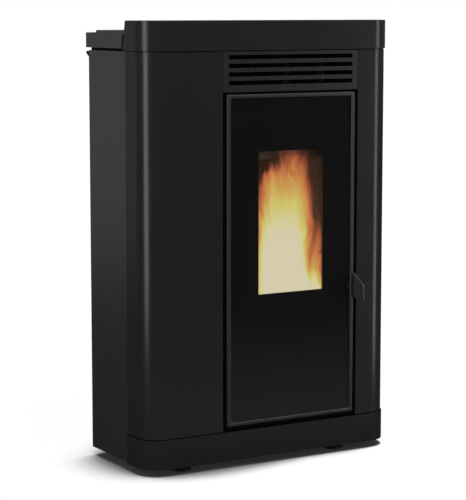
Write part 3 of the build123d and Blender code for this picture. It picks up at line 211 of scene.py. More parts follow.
through = calc(tree, "MAXIMUM", path["Is Camera Ray"], path["Is Transmission Ray"])
seen = put(tree, "ShaderNodeMix", {"Factor": through, 2: lit, 3: 1.0}).outputs[0]
background = put(tree, "ShaderNodeBackground", {"Color": white, "Strength": seen})
output = tree.nodes.new("ShaderNodeOutputWorld")
feed(tree, output.inputs["Surface"], background.outputs[0])


def soft_light(name, place, target, width, height, power):
    """A rectangular lamp turned to face a point, out of the camera's own sight."""
    data = bpy.data.lights.new(name, "AREA")
    data.shape = "RECTANGLE"
    data.size = width
    data.size_y = height
    data.energy = power
    lamp = bpy.data.objects.new(name, data)
    lamp.location = place
    lamp.rotation_euler = (Vector(target) - Vector(place)).to_track_quat("-Z", "Y").to_euler()
    lamp.visible_camera = False
    bpy.context.collection.objects.link(lamp)
    return lamp


soft_light("overhead_light", (0.1, -2.0, 3.8), (0.0, 0.0, 0.5), width=3.0, height=3.0, power=92.0)
soft_light("left_strip", (-1.93, -0.47, 1.12), (-0.36, -0.13, 1.12), width=0.58, height=1.97, power=15.6)
soft_light("right_strip", (1.20, -0.89, 1.02), (0.36, -0.16, 1.02), width=0.13, height=2.0, power=6.0)


# ---------------------------------------- base pan and chassis
# Pressed 2.5 mm base pan and the upright frame behind the front panels, with the door's hinges on
# it. All are steel with a thin matt black coat.
def new_group(name, takes, gives):
    """A shader node group with named inputs and outputs: its tree and its two end nodes."""
    tree = bpy.data.node_groups.new(name, "ShaderNodeTree")
    for label, (kind, value) in takes.items():
        socket = tree.interface.new_socket(label, in_out="INPUT", socket_type=kind)
        socket.default_value = value
    for label, kind in gives.items():
        tree.interface.new_socket(label, in_out="OUTPUT", socket_type=kind)
    return tree, tree.nodes.new("NodeGroupInput").outputs, tree.nodes.new("NodeGroupOutput").inputs


def noise(tree, place, scale, detail=2.0, roughness=0.5):
    """Noise from 0 to 1 at a place, with its scale in waves per metre."""
    sockets = {"Vector": place, "Scale": scale, "Detail": detail, "Roughness": roughness}
    return put(tree, "ShaderNodeTexNoise", sockets).outputs["Fac"]


def placed(tree, group, output, **values):
    """Adds a shared group to a material and gives one of its outputs."""
    node = put(tree, "ShaderNodeGroup", node_tree=group)
    for name, value in values.items():
        feed(tree, node.inputs[name], value)
    return node.outputs[output]


NUMBER = "NodeSocketFloat"

edge_wear, take, give = new_group("edge_wear", {"Radius": (NUMBER, 0.0015), "Amount": (NUMBER, 0.5)},
                                  {"Mask": NUMBER})
rounded = put(edge_wear, "ShaderNodeBevel", {"Radius": take["Radius"]}, samples=4).outputs["Normal"]
facing = put(edge_wear, "ShaderNodeNewGeometry").outputs["Normal"]
turned = put(edge_wear, "ShaderNodeVectorMath", {0: rounded, 1: facing},
             operation="DOT_PRODUCT").outputs["Value"]
place = object_place(edge_wear)
patches = spread(edge_wear, noise(edge_wear, place, 40.0, 4.0, 0.6), 0.40, 0.65)
rubbed = calc(edge_wear, "MULTIPLY", spread(edge_wear, turned, 0.99, 0.80), patches)
feed(edge_wear, give["Mask"], calc(edge_wear, "MULTIPLY", rubbed, take["Amount"]))

settled_dust, take, give = new_group("settled_dust", {"Amount": (NUMBER, 0.2)}, {"Mask": NUMBER})
normal = put(settled_dust, "ShaderNodeNewGeometry").outputs["Normal"]
upward = axes(settled_dust, normal)["Z"]
place = object_place(settled_dust)
specks = spread(settled_dust, noise(settled_dust, place, 900.0, 2.0), 0.45, 0.75, 0.0, 0.5)
drift = spread(settled_dust, noise(settled_dust, place, 9.0, 3.0), 0.30, 0.70, 0.0, 0.5)
film = calc(settled_dust, "ADD", specks, drift)
dusty = calc(settled_dust, "MULTIPLY", spread(settled_dust, upward, 0.5, 0.95), film)
feed(settled_dust, give["Mask"], calc(settled_dust, "MULTIPLY", dusty, take["Amount"]))

bare_steel = (0.22, 0.22, 0.23, 1.0)
dust_colour = (0.30, 0.29, 0.27, 1.0)


def shade(colour, by):
    """A colour made lighter or darker."""
    return tuple(min(1.0, part * by) for part in colour[:3]) + (1.0,)


def bumped(tree, strength, distance, height):
    """The way the surface faces, tilted by a pattern of heights."""
    sockets = {"Strength": strength, "Distance": distance, "Height": height}
    return put(tree, "ShaderNodeBump", sockets).outputs["Normal"]


def surface(tree, output, colour, roughness, metallic=0.0, **others):
    """The material's one shader. The names of other inputs have _ in place of each space."""
    sockets = {"Base Color": colour, "Roughness": roughness, "Metallic": metallic}
    sockets.update({name.replace("_", " "): value for name, value in others.items()})
    shader = put(tree, "ShaderNodeBsdfPrincipled", sockets)
    feed(tree, output.inputs["Surface"], shader.outputs[0])
    return shader


def coated(name, colour, roughness, grain, wear, dust, level=0.5, index=1.5):
    """A powder or enamel coat: fine grain, slight mottling, rubbed edges and dust."""
    made, tree, output = new_material(name)
    place = object_place(tree)
    base = mixed(tree, noise(tree, place, 5.0, 3.0), shade(colour, 0.90), shade(colour, 1.12))
    base = mixed(tree, placed(tree, edge_wear, "Mask", Amount=wear), base, bare_steel)
    dusty = placed(tree, settled_dust, "Mask", Amount=dust)
    base = mixed(tree, dusty, base, dust_colour)
    smudge = noise(tree, place, 14.0, 4.0, 0.6)
    rough = spread(tree, smudge, 0.3, 0.7, roughness - 0.02, roughness + 0.03)
    rough = calc(tree, "ADD", rough, calc(tree, "MULTIPLY", dusty, 0.3))
    fine = noise(tree, place, 1500.0, 2.0)
    surface(tree, output, base, rough, Specular_IOR_Level=level, IOR=index,
            Normal=bumped(tree, grain, 0.0001, fine))
    return made


def finish_nodes(finish, *names):
    """Gives CAD nodes a finish in place of the frame's plain one."""
    for name in names:
        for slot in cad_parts[name].material_slots:
            slot.material = finish


chassis_coat = coated("chassis_coat", (0.010, 0.010, 0.0103), 0.60, grain=0.4, wear=0.15, dust=0.25,
                      level=0.15)
finish_nodes(chassis_coat, "base_frame", "chassis_frame", "door_hinges")


# ---------------------------------------- levelling feet
# Moulded rubber pad with grip ribs round its rim, under a zinc-plated collar, hex nut and stud.
# The stud screws up through a boss in the base pan.
tarnish = (0.20, 0.17, 0.14, 1.0)


def metal(name, colour, roughness, brushed=0.0, stain=0.2):
    """Bare or plated metal: tone patches, fine drawn lines, dull stains and small dents."""
    made, tree, output = new_material(name)
    place = object_place(tree)
    base = mixed(tree, noise(tree, place, 22.0, 3.0), shade(colour, 0.88), shade(colour, 1.06))
    blotch = spread(tree, noise(tree, place, 34.0, 5.0, 0.65), 0.52, 0.72, 0.0, stain)
    base = mixed(tree, blotch, base, tarnish)
    drawn = put(tree, "ShaderNodeMapping", {"Vector": place, "Scale": (1.0, 1.0, 0.04)}).outputs[0]
    lines = noise(tree, drawn, 2600.0, 2.0)
    rough = calc(tree, "ADD", spread(tree, lines, 0.3, 0.7, roughness - 0.06, roughness + 0.06),
                 calc(tree, "MULTIPLY", blotch, 0.35))
    fine = calc(tree, "ADD", calc(tree, "MULTIPLY", lines, brushed), noise(tree, place, 120.0, 3.0))
    surface(tree, output, base, rough, metallic=1.0, Normal=bumped(tree, 0.25, 0.0002, fine))
    return made


def soft_black(name, colour, roughness, grain_scale, grain):
    """Rubber or moulded plastic with an even pebbled skin and pale handling marks."""
    made, tree, output = new_material(name)
    place = object_place(tree)
    marks = spread(tree, noise(tree, place, 60.0, 4.0, 0.65), 0.50, 0.75, 0.0, 0.35)
    base = mixed(tree, marks, colour, shade(colour, 2.2))
    base = mixed(tree, placed(tree, settled_dust, "Mask", Amount=0.3), base, dust_colour)
    rough = spread(tree, marks, 0.0, 0.35, roughness, roughness + 0.12)
    pebble = put(tree, "ShaderNodeTexVoronoi", {"Vector": place, "Scale": grain_scale})
    surface(tree, output, base, rough, Normal=bumped(tree, grain, 0.0002, pebble.outputs["Distance"]))
    return made


def turned_profile(work, points, centre, steps):
    """Spins a chain of (radius, height) points about an upright line into a closed shape."""
    ring = [work.verts.new((centre[0] + radius, centre[1], height)) for radius, height in points]
    chain = [work.edges.new(pair) for pair in zip(ring, ring[1:])]
    bmesh.ops.spin(work, geom=ring + chain, cent=(centre[0], centre[1], 0.0), axis=(0.0, 0.0, 1.0),
                   angle=math.tau, steps=steps, use_merge=True)
    bmesh.ops.remove_doubles(work, verts=work.verts, dist=1e-6)
    bmesh.ops.recalc_face_normals(work, faces=work.faces)


def vertices_in(geometry):
    """The vertices in a mixed list that a bmesh operator gives back."""
    return [item for item in geometry if isinstance(item, bmesh.types.BMVert)]


zinc = metal("zinc_plate", (0.58, 0.58, 0.57), 0.34, brushed=0.4)
foot_rubber = soft_black("foot_rubber", (0.016, 0.016, 0.016, 1.0), 0.62, grain_scale=1400.0, grain=0.5)
pad_outline = ((0.0, 0.0), (0.0235, 0.0), (0.0262, 0.0008), (0.0270, 0.0022), (0.0250, 0.0062),
               (0.0229, 0.0078), (0.0205, 0.0090), (0.0150, 0.0090), (0.0140, 0.0086), (0.0, 0.0086))
collar_outline = ((0.0, 0.0086), (0.0132, 0.0086), (0.0140, 0.0094), (0.0140, 0.0112), (0.0132, 0.0120),
                  (0.0, 0.0120))
nut_low = 0.0120
nut_top = 0.0215
nut_radius = 0.0095
nut_bevel = 0.0006
stud_radius = 0.0050
stud_top = 0.0500
thread_pitch = 0.0015
thread_depth = 0.0007
thread_low = nut_top - 0.002
ribs = 36
rib_low = 0.0015
rib_top = 0.0085
rib_root = 0.0225
rib_share = 0.035

for name, x, y in (("front_left", -0.254, -0.1185), ("front_right", 0.226, -0.1185),
                   ("rear_left", -0.254, 0.0955), ("rear_right", 0.226, 0.0955)):
    work = bmesh.new()
    turned_profile(work, pad_outline, (x, y), 2 * ribs)
    for vert in work.verts:
        out = Vector((vert.co.x - x, vert.co.y - y))
        rib = round(math.atan2(out.y, out.x) / math.tau * 2 * ribs) % 2
        if rib and rib_low < vert.co.z < rib_top and out.length > rib_root:
            vert.co.x -= out.x * rib_share
            vert.co.y -= out.y * rib_share
    pad = piece_from(work, "foot_pad_" + name, foot_rubber)
    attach(pad, "foot_" + name)
    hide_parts("foot_" + name)

    work = bmesh.new()
    turned_profile(work, collar_outline, (x, y), 48)
    thread = [(0.0, thread_low)]
    for turn in range(int((stud_top - nut_top) / thread_pitch)):
        low = thread_low + turn * thread_pitch
        thread += [(stud_radius - thread_depth, low + 0.0001), (stud_radius, low + thread_pitch * 0.5)]
    thread += [(stud_radius - 0.001, stud_top - 0.001), (0.0, stud_top - 0.001)]
    turned_profile(work, thread, (x, y), 24)
    nut = bmesh.ops.create_circle(work, cap_ends=True, segments=6, radius=nut_radius,
                                  matrix=Matrix.Translation((x, y, nut_low)))["verts"]
    walls = bmesh.ops.extrude_face_region(work, geom=list({f for v in nut for f in v.link_faces}))["geom"]
    top = vertices_in(walls)
    bmesh.ops.translate(work, verts=top, vec=(0.0, 0.0, nut_top - nut_low))
    rims = [e for e in work.edges if all(v in nut or v in top for v in e.verts)]
    bmesh.ops.bevel(work, geom=rims, offset=nut_bevel, offset_type="OFFSET", segments=2, profile=0.5,
                    affect="EDGES", material=-1)
    bmesh.ops.recalc_face_normals(work, faces=work.faces)
    stud = piece_from(work, "foot_stud_" + name, zinc, smooth=False)
    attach(stud, "foot_" + name)
    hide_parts("foot_" + name)


# ---------------------------------------- firebox
# Welded 4 mm steel box with its gas channel, legs and heat exchanger, painted with stove paint that
# heat and soot have dulled to a brown black. The door's opening is framed by its front flange.
def burnt(name, colour, ash, roughness, pit_scale, pits):
    """Steel or cast iron that has stood in the fire: soot patches, ash on ledges and a rough skin."""
    made, tree, output = new_material(name)
    place = object_place(tree)
    scale = noise(tree, place, 18.0, 5.0, 0.62)
    base = mixed(tree, spread(tree, scale, 0.35, 0.65), shade(colour, 0.55), shade(colour, 1.5))
    rust = spread(tree, noise(tree, place, 46.0, 4.0, 0.6), 0.60, 0.74, 0.0, 0.35)
    base = mixed(tree, rust, base, (0.085, 0.045, 0.028, 1.0))
    fly = spread(tree, noise(tree, place, 30.0, 4.0, 0.6), 0.46, 0.66, 0.0, ash)
    lying = placed(tree, settled_dust, "Mask", Amount=ash * 1.6)
    base = mixed(tree, calc(tree, "MAXIMUM", fly, lying), base, (0.30, 0.28, 0.26, 1.0))
    skin = calc(tree, "ADD", noise(tree, place, pit_scale, 4.0, 0.6), calc(tree, "MULTIPLY", scale, 0.6))
    rough = spread(tree, scale, 0.3, 0.7, roughness, roughness + 0.12)
    surface(tree, output, base, rough, Specular_IOR_Level=0.35, Normal=bumped(tree, pits, 0.0006, skin))
    return made


fire_steel = burnt("fire_steel", (0.036, 0.031, 0.028), ash=0.10, roughness=0.60, pit_scale=260.0,
                   pits=0.25)
finish_nodes(fire_steel, "firebox", "heat_exchanger", "burner_box", "feed_chute")


# ---------------------------------------- cast linings and hearth
# Sand-cast iron plates that lie loose in the firebox: ribbed back, bordered sides, baffle above and
# slotted hearth plate below, and the burn pot. The skin is grainy, browned by the fire and powdered
# with ash.
cast_iron = burnt("cast_iron", (0.195, 0.155, 0.132), ash=0.22, roughness=0.74, pit_scale=620.0,
                  pits=0.65)
finish_nodes(cast_iron, "rear_lining", "side_linings", "baffle", "hearth_plate", "burn_pot")


# ---------------------------------------- fire bed
# Wood pellets burning in the pot, charred and glowing in patches, heaped highest in the middle. They
# are pressed sawdust, 6 mm thick and 10 to 20 mm long.
pellet_radius = 0.003
pellet_length = (0.010, 0.020)
pellet_bevel = 0.0005


def pressed_wood(name, char):
    """Pressed sawdust, from fresh to charred, with cracks across the pellet."""
    made, tree, output = new_material(name)
    place = object_place(tree)
    tone = noise(tree, place, 90.0, 3.0)
    base = mixed(tree, spread(tree, tone, 0.3, 0.7), (0.30, 0.175, 0.085, 1.0), (0.52, 0.36, 0.20, 1.0))
    base = mixed(tree, char, base, (0.012, 0.010, 0.009, 1.0))
    crack = noise(tree, place, 900.0, 4.0, 0.7)
    shader = surface(tree, output, base, spread(tree, crack, 0.3, 0.7, 0.62, 0.82),
                     Normal=bumped(tree, 0.6, 0.0004, crack))
    if char:
        heat = spread(tree, noise(tree, place, 120.0, 3.0), 0.46, 0.62)
        glow = mixed(tree, heat, (0.0, 0.0, 0.0, 1.0), (1.0, 0.22, 0.03, 1.0))
        feed(tree, shader.inputs["Emission Color"], glow)
        shader.inputs["Emission Strength"].default_value = 3.0
    return made


def strew(work, chance, count, low, high, bottom, top, steep=0.5):
    """Adds pellets that lie every way between two corners, lower round the edges than in the middle."""
    middle = ((low[0] + high[0]) / 2, (low[1] + high[1]) / 2)
    for _ in range(count):
        length = chance.uniform(*pellet_length)
        x = chance.uniform(low[0], high[0])
        y = chance.uniform(low[1], high[1])
        out = max(abs(x - middle[0]) / (high[0] - middle[0]), abs(y - middle[1]) / (high[1] - middle[1]))
        z = bottom + (top - bottom) * (1 - out * out * steep) * chance.uniform(0.80, 1.0)
        tilt = Matrix.Rotation(chance.uniform(1.2, 1.9), 4, "X")
        spun = Matrix.Rotation(chance.uniform(0.0, math.tau), 4, "Z")
        made = bmesh.ops.create_cone(work, cap_ends=True, segments=8, radius1=pellet_radius,
                                     radius2=pellet_radius, depth=length,
                                     matrix=Matrix.Translation((x, y, z)) @ spun @ tilt)
        rims = {e for v in made["verts"] for e in v.link_edges if len(e.link_faces[0].verts) == 8
                or len(e.link_faces[1].verts) == 8}
        bmesh.ops.bevel(work, geom=list(rims), offset=pellet_bevel, offset_type="OFFSET", segments=1,
                        profile=0.5, affect="EDGES", material=-1)


pot_low = (0.0120, -0.0485)
pot_high = (0.0995, 0.0195)
work = bmesh.new()
strew(work, random.Random(4), 150, pot_low, pot_high, bottom=0.372, top=0.404)
embers = piece_from(work, "burning_pellets", pressed_wood("charred_pellets", char=0.92), smooth=False)
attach(embers, "cabinet")


# ---------------------------------------- flames
# Three wavy curtains of flame over the pot, the brightest in front. Each is a cream core that fades
# through yellow and orange into thin red-brown licks, and lets the back of the firebox show between.
fire_x = (-0.0103, 0.1897)
fire_z = (0.4400, 0.8140)


def flame_finish(name, phase, strength, right, left_edge, right_edge, tongue):
    """Glow and see-through mask of one curtain, drawn in metres across (X) and up (Z)."""
    made, tree, output = new_material(name)
    place = object_place(tree)
    moved = put(tree, "ShaderNodeVectorMath", {0: place, 1: phase}, operation="ADD").outputs["Vector"]
    part = axes(tree, place)
    across = spread(tree, part["X"], *fire_x)
    up = spread(tree, part["Z"], *fire_z)

    slow = put(tree, "ShaderNodeMapping", {"Vector": moved, "Scale": (1.0, 1.0, 0.45)}).outputs[0]
    sway = calc(tree, "SUBTRACT", noise(tree, slow, 14.0, 2.0), 0.5)
    bent = put(tree, "ShaderNodeCombineXYZ", {"X": calc(tree, "MULTIPLY", sway, 0.10)}).outputs[0]
    flow = put(tree, "ShaderNodeVectorMath", {0: moved, 1: bent}, operation="ADD").outputs["Vector"]
    broad = put(tree, "ShaderNodeMapping", {"Vector": flow, "Scale": (1.0, 1.0, 0.16)}).outputs[0]
    thin = put(tree, "ShaderNodeMapping", {"Vector": flow, "Scale": (1.0, 1.0, 0.07)}).outputs[0]
    lick = calc(tree, "SUBTRACT", noise(tree, broad, 46.0, 2.0), 0.5)
    streak = calc(tree, "SUBTRACT", noise(tree, thin, 190.0, 3.0, 0.6), 0.5)

    def along(points):
        """A smooth value of height, through a few set levels."""
        curve = put(tree, "ShaderNodeFloatCurve", {"Value": up})
        levels = curve.mapping.curves[0].points
        levels[0].location = points[0]
        levels[1].location = points[-1]
        for point in points[1:-1]:
            levels.new(*point)
        curve.mapping.update()
        return curve.outputs["Value"]

    wander = calc(tree, "MULTIPLY", lick, spread(tree, up, 0.1, 0.9, 0.08, 0.30))
    fray = calc(tree, "MULTIPLY", streak, spread(tree, up, 0.3, 1.0, 0.03, 0.16))
    shifted = calc(tree, "ADD", across, calc(tree, "ADD", wander, fray))
    soft = spread(tree, up, 0.0, 0.5, 0.24, 0.46)
    from_left = calc(tree, "DIVIDE", calc(tree, "SUBTRACT", shifted, along(left_edge)), soft)
    to_right = calc(tree, "DIVIDE", calc(tree, "SUBTRACT", along(right_edge), shifted), soft)
    inside = calc(tree, "MINIMUM", spread(tree, from_left, 0.0, 1.0, smooth=True),
                  spread(tree, to_right, 0.0, 1.0, smooth=True))
    body = along(((0.0, 1.0), (0.36, 1.0), (0.47, 0.94), (0.57, 0.84), (0.645, 0.75), (0.72, 0.64),
                  (0.79, 0.57), (0.85, 0.48), (0.90, 0.41), (0.94, 0.34), (0.97, 0.28), (1.0, 0.20)))
    depth = spread(tree, up, 0.40, 0.95, 0.03, 0.34)
    texture = calc(tree, "ADD", calc(tree, "MULTIPLY", lick, depth), calc(tree, "MULTIPLY", streak, depth))
    heat = calc(tree, "MULTIPLY", calc(tree, "ADD", body, texture), inside)
    if tongue:
        near = calc(tree, "ADD", across, calc(tree, "MULTIPLY", lick, 0.22))
        near = calc(tree, "ADD", near, calc(tree, "MULTIPLY", streak, 0.12))
        gap = calc(tree, "ABSOLUTE", calc(tree, "SUBTRACT", near, along(tongue[0])))
        rise = along(tongue[1])
        second = calc(tree, "MULTIPLY", spread(tree, gap, 0.20, 0.01, smooth=True), rise)
        heat = calc(tree, "MAXIMUM", heat, second)
    heat = calc(tree, "MULTIPLY", heat, spread(tree, part["X"], right, right - 0.005))

    ramp = put(tree, "ShaderNodeValToRGB", {"Fac": heat})
    stops = ((0.00, (0.030, 0.018, 0.015, 1.0)), (0.14, (0.11, 0.036, 0.024, 1.0)),
             (0.28, (0.36, 0.092, 0.042, 1.0)), (0.44, (0.56, 0.195, 0.062, 1.0)),
             (0.60, (0.62, 0.360, 0.095, 1.0)), (0.76, (0.66, 0.570, 0.165, 1.0)),
             (0.90, (0.69, 0.640, 0.330, 1.0)), (1.00, (0.69, 0.640, 0.445, 1.0)))
    colours = ramp.color_ramp.elements
    colours[0].position, colours[0].color = stops[0]
    colours[1].position, colours[1].color = stops[-1]
    for at, colour in stops[1:-1]:
        colours.new(at).color = colour
    solid = spread(tree, heat, 0.02, 0.34, smooth=True)
    surface(tree, output, (0.0, 0.0, 0.0, 1.0), 1.0, Specular_IOR_Level=0.0,
            Emission_Color=ramp.outputs["Color"], Emission_Strength=strength, Alpha=solid)
    return made


flame_bottom = 0.4225
flame_top = 0.8350
broad_wave = 0.004
small_wave = 0.003
curtains = (
    ("flame_front", -0.1100, (-0.0800, 0.1925), 0.0, 1.07,
     ((0.0, -0.17), (0.15, -0.20), (0.36, -0.24), (0.50, -0.24), (0.645, -0.22), (0.79, -0.19),
      (0.85, -0.13), (0.90, -0.06), (1.0, 0.05)),
     ((0.0, 1.15), (0.08, 1.02), (0.20, 0.96), (0.45, 1.00), (0.65, 1.01), (0.82, 1.03), (1.0, 0.98)),
     (((0.0, 0.90), (0.20, 0.89), (0.45, 0.93), (1.0, 0.96)),
      ((0.0, 1.0), (0.08, 0.88), (0.18, 0.60), (0.28, 0.45), (0.38, 0.33), (0.50, 0.19), (0.62, 0.10),
       (0.80, 0.04), (1.0, 0.0)))),
    ("flame_middle", -0.0400, (-0.0300, 0.1500), 1.7, 0.55,
     ((0.0, -0.05), (0.55, 0.02), (1.0, 0.30)), ((0.0, 0.75), (0.60, 0.72), (1.0, 0.50)), None),
    ("flame_back", 0.0080, (0.0000, 0.1200), 3.1, 0.40,
     ((0.0, 0.10), (0.55, 0.15), (1.0, 0.35)), ((0.0, 0.60), (0.60, 0.55), (1.0, 0.42)), None))

for name, y, (left, right), phase, strength, left_edge, right_edge, tongue in curtains:
    finish = flame_finish(name + "_glow", (phase, phase, phase), strength, right, left_edge, right_edge,
                          tongue)
    work = bmesh.new()
    middle = Matrix.Translation(((left + right) / 2, y, (flame_bottom + flame_top) / 2))
    shape = Matrix.Diagonal(((right - left) / 2, 1.0, (flame_top - flame_bottom) / 2, 1.0))
    bmesh.ops.create_grid(work, x_segments=28, y_segments=44, size=1.0,
                          matrix=middle @ shape @ Matrix.Rotation(math.pi / 2, 4, "X"))
    for vert in work.verts:
        rise = (vert.co.z - flame_bottom) / (flame_top - flame_bottom)
        vert.co.y += broad_wave * math.sin(38.0 * vert.co.x + phase) * rise
        vert.co.y += small_wave * math.sin(25.0 * vert.co.z + 60.0 * vert.co.x + phase) * rise
    curtain = piece_from(work, name, finish)
    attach(curtain, "cabinet")


# ---------------------------------------- galvanised sheet work
# Hopper, warm air duct, blower housings, ash drawer and heat shield, folded from hot-dip galvanised
# sheet. The zinc has pale crystals and dull handling marks. The drawer is ashy. The duct, which
# shows through the grille, is coloured nearly black as painted shade inside the grille's slots.
def galvanised(name, colour, roughness, ash=0.0):
    """Zinc crystals of differing tone and gloss, with dull streaks."""
    made, tree, output = new_material(name)
    place = object_place(tree)
    crystal = put(tree, "ShaderNodeTexVoronoi", {"Vector": place, "Scale": 85.0}).outputs["Color"]
    tone = put(tree, "ShaderNodeSeparateColor", {"Color": crystal}).outputs["Red"]
    frost = noise(tree, place, 700.0, 2.0)
    mottled = calc(tree, "ADD", calc(tree, "MULTIPLY", tone, 0.75), calc(tree, "MULTIPLY", frost, 0.25))
    base = mixed(tree, mottled, shade(colour, 0.72), shade(colour, 1.12))
    dull = spread(tree, noise(tree, place, 12.0, 4.0, 0.6), 0.52, 0.72, 0.0, 0.45)
    base = mixed(tree, dull, base, (0.33, 0.33, 0.32, 1.0))
    base = mixed(tree, placed(tree, settled_dust, "Mask", Amount=0.25 + ash), base, dust_colour)
    rough = calc(tree, "ADD", spread(tree, tone, 0.0, 1.0, roughness - 0.10, roughness + 0.10),
                 calc(tree, "MULTIPLY", dull, 0.3))
    surface(tree, output, base, rough, metallic=0.9, Normal=bumped(tree, 0.15, 0.0002, mottled))
    return made


zinc_sheet = galvanised("galvanised_sheet", (0.52, 0.54, 0.55), 0.42)
finish_nodes(zinc_sheet, "hopper", "exhaust_housing", "room_housing", "heat_shield")
finish_nodes(galvanised("drawer_sheet", (0.40, 0.40, 0.40), 0.50, ash=0.5), "ash_drawer")
# Painted shade: the duct is nearly black so that the slots of the grille in front of it look dark.
finish_nodes(galvanised("duct_painted_shade", (0.036, 0.036, 0.038), 0.70), "air_duct")


# ---------------------------------------- pellets in the hopper
# Fresh softwood pellets that fill the hopper to 130 mm below its neck. A lumpy bed closes the heap
# under the loose top layers.
bed_low = (-0.3590, -0.1215)
bed_high = (-0.1710, 0.1285)
bed_level = 0.9400
bed_lumps = 0.003
margin = 0.010
fresh_wood = pressed_wood("fresh_pellets", char=0.0)
chance = random.Random(11)
work = bmesh.new()
shape = Matrix.Diagonal(((bed_high[0] - bed_low[0]) / 2, (bed_high[1] - bed_low[1]) / 2, 1.0, 1.0))
middle = Matrix.Translation(((bed_low[0] + bed_high[0]) / 2, (bed_low[1] + bed_high[1]) / 2, bed_level))
bmesh.ops.create_grid(work, x_segments=40, y_segments=54, size=1.0, matrix=middle @ shape)
for vert in work.verts:
    vert.co.z += chance.uniform(-bed_lumps, bed_lumps)
strew(work, chance, 900, (bed_low[0] + margin, bed_low[1] + margin),
      (bed_high[0] - margin, bed_high[1] - margin), bottom=bed_level - 0.030, top=bed_level + 0.012,
      steep=0.25)
heap = piece_from(work, "hopper_pellets", fresh_wood, smooth=False)
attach(heap, "cabinet")


# ---------------------------------------- feed, air and moving metal
# Auger and its tube, blower wheels, air tube, latch keeper, clips and igniter: turned or pressed
# steel, zinc-plated or left bright. The motors are die-cast alloy and the flue spigot is painted.
finish_nodes(zinc, "auger_tube", "room_rotor", "exhaust_impeller", "air_inlet", "latch_keeper",
             "pane_clips", "igniter")
finish_nodes(metal("drawn_steel", (0.42, 0.41, 0.40), 0.30, brushed=0.8, stain=0.4), "auger_screw")
motor_alloy = metal("cast_alloy", (0.42, 0.42, 0.43), 0.55, stain=0.3)
finish_nodes(motor_alloy, "auger_gearmotor", "blower_motors")
flue_coat = coated("flue_coat", (0.016, 0.0155, 0.015), 0.62, grain=0.7, wear=0.4, dust=0.2)
finish_nodes(flue_coat, "flue_spigot")


# ---------------------------------------- casing
# Folded 2 mm steel sheet in a fine-grained, nearly black satin coat, rubbed a little on the folds.
# The sides and the top box mirror more than the front. Faces inside the joints behind the crown,
# under the top box and on the plinth are turned near black and matt as painted shade.
satin = {"roughness": 0.23, "grain": 0.5, "wear": 0.10, "dust": 0.10, "level": 0.33}
front_coat = coated("front_coat", (0.0145, 0.0145, 0.0146), **satin)
finish_nodes(front_coat, "left_front_panel", "right_front_panel", "crown")
glossy = {"roughness": 0.30, "grain": 0.5, "wear": 0.12, "dust": 0.10, "level": 1.0, "index": 1.75}
side_black = (0.0125, 0.0125, 0.0126)
finish_nodes(coated("side_coat", side_black, **glossy), "left_side_panel", "right_side_panel",
             "rear_panel", "top_cover", "hopper_lid")
painted_joint_shade = (0.008, 0.008, 0.008, 1.0)


def paint_joint_shade(coat, joint):
    """Turns the part of a coat that lies in a joint near black and matt, so that it mirrors next to
    nothing: painted shade.
    """
    tree = coat.node_tree
    shader = next(node for node in tree.nodes if node.type == "BSDF_PRINCIPLED")
    base = shader.inputs["Base Color"].links[0].from_socket
    rough = shader.inputs["Roughness"].links[0].from_socket
    feed(tree, shader.inputs["Base Color"], mixed(tree, joint, base, painted_joint_shade))
    feed(tree, shader.inputs["Roughness"], spread(tree, joint, 0.0, 1.0, rough, 0.95))
    feed(tree, shader.inputs["Metallic"], joint)


crown_low = 1.0870
box_low = 1.0921
crown_back = -0.0475
crown_lean = 0.197
joint_width = 0.013
box_side = 0.3700
top_coat = coated("top_coat", side_black, **glossy)
tree = top_coat.node_tree
part = axes(tree, object_place(tree))
# Painted shade: the skirt under the top box and a band just behind the crown's sloping back edge go near
# black.
under = calc(tree, "MULTIPLY", spread(tree, part["Z"], box_low, box_low - 0.0002),
             spread(tree, calc(tree, "ABSOLUTE", part["X"]), box_side - 0.0002, box_side))
slope = calc(tree, "MULTIPLY", calc(tree, "SUBTRACT", part["Z"], crown_low), crown_lean)
edge = calc(tree, "ADD", part["Y"], slope)
beside = spread(tree, edge, crown_back + joint_width + 0.0004, crown_back + joint_width)
paint_joint_shade(top_coat, calc(tree, "MAXIMUM", under, beside))
finish_nodes(top_coat, "top_frame", "rear_channel")
plinth_top = 0.0950
plinth_coat = coated("plinth_coat", (0.0135, 0.0135, 0.0136), **satin)
tree = plinth_coat.node_tree
part = axes(tree, object_place(tree))
# Painted shade: the plinth's top rim, inside the joint under the front panels, goes near black.
paint_joint_shade(plinth_coat, spread(tree, part["Z"], plinth_top - 0.0004, plinth_top - 0.0002))
finish_nodes(plinth_coat, "plinth")
grille_coat = coated("grille_coat", (0.015, 0.015, 0.0152), 0.34, grain=0.5, wear=0.10, dust=0.10,
                     level=0.4)
finish_nodes(grille_coat, "air_grille")
seal_rubber = soft_black("seal_rubber", (0.020, 0.020, 0.020, 1.0), 0.70, grain_scale=1800.0, grain=0.3)
finish_nodes(seal_rubber, "lid_gasket")


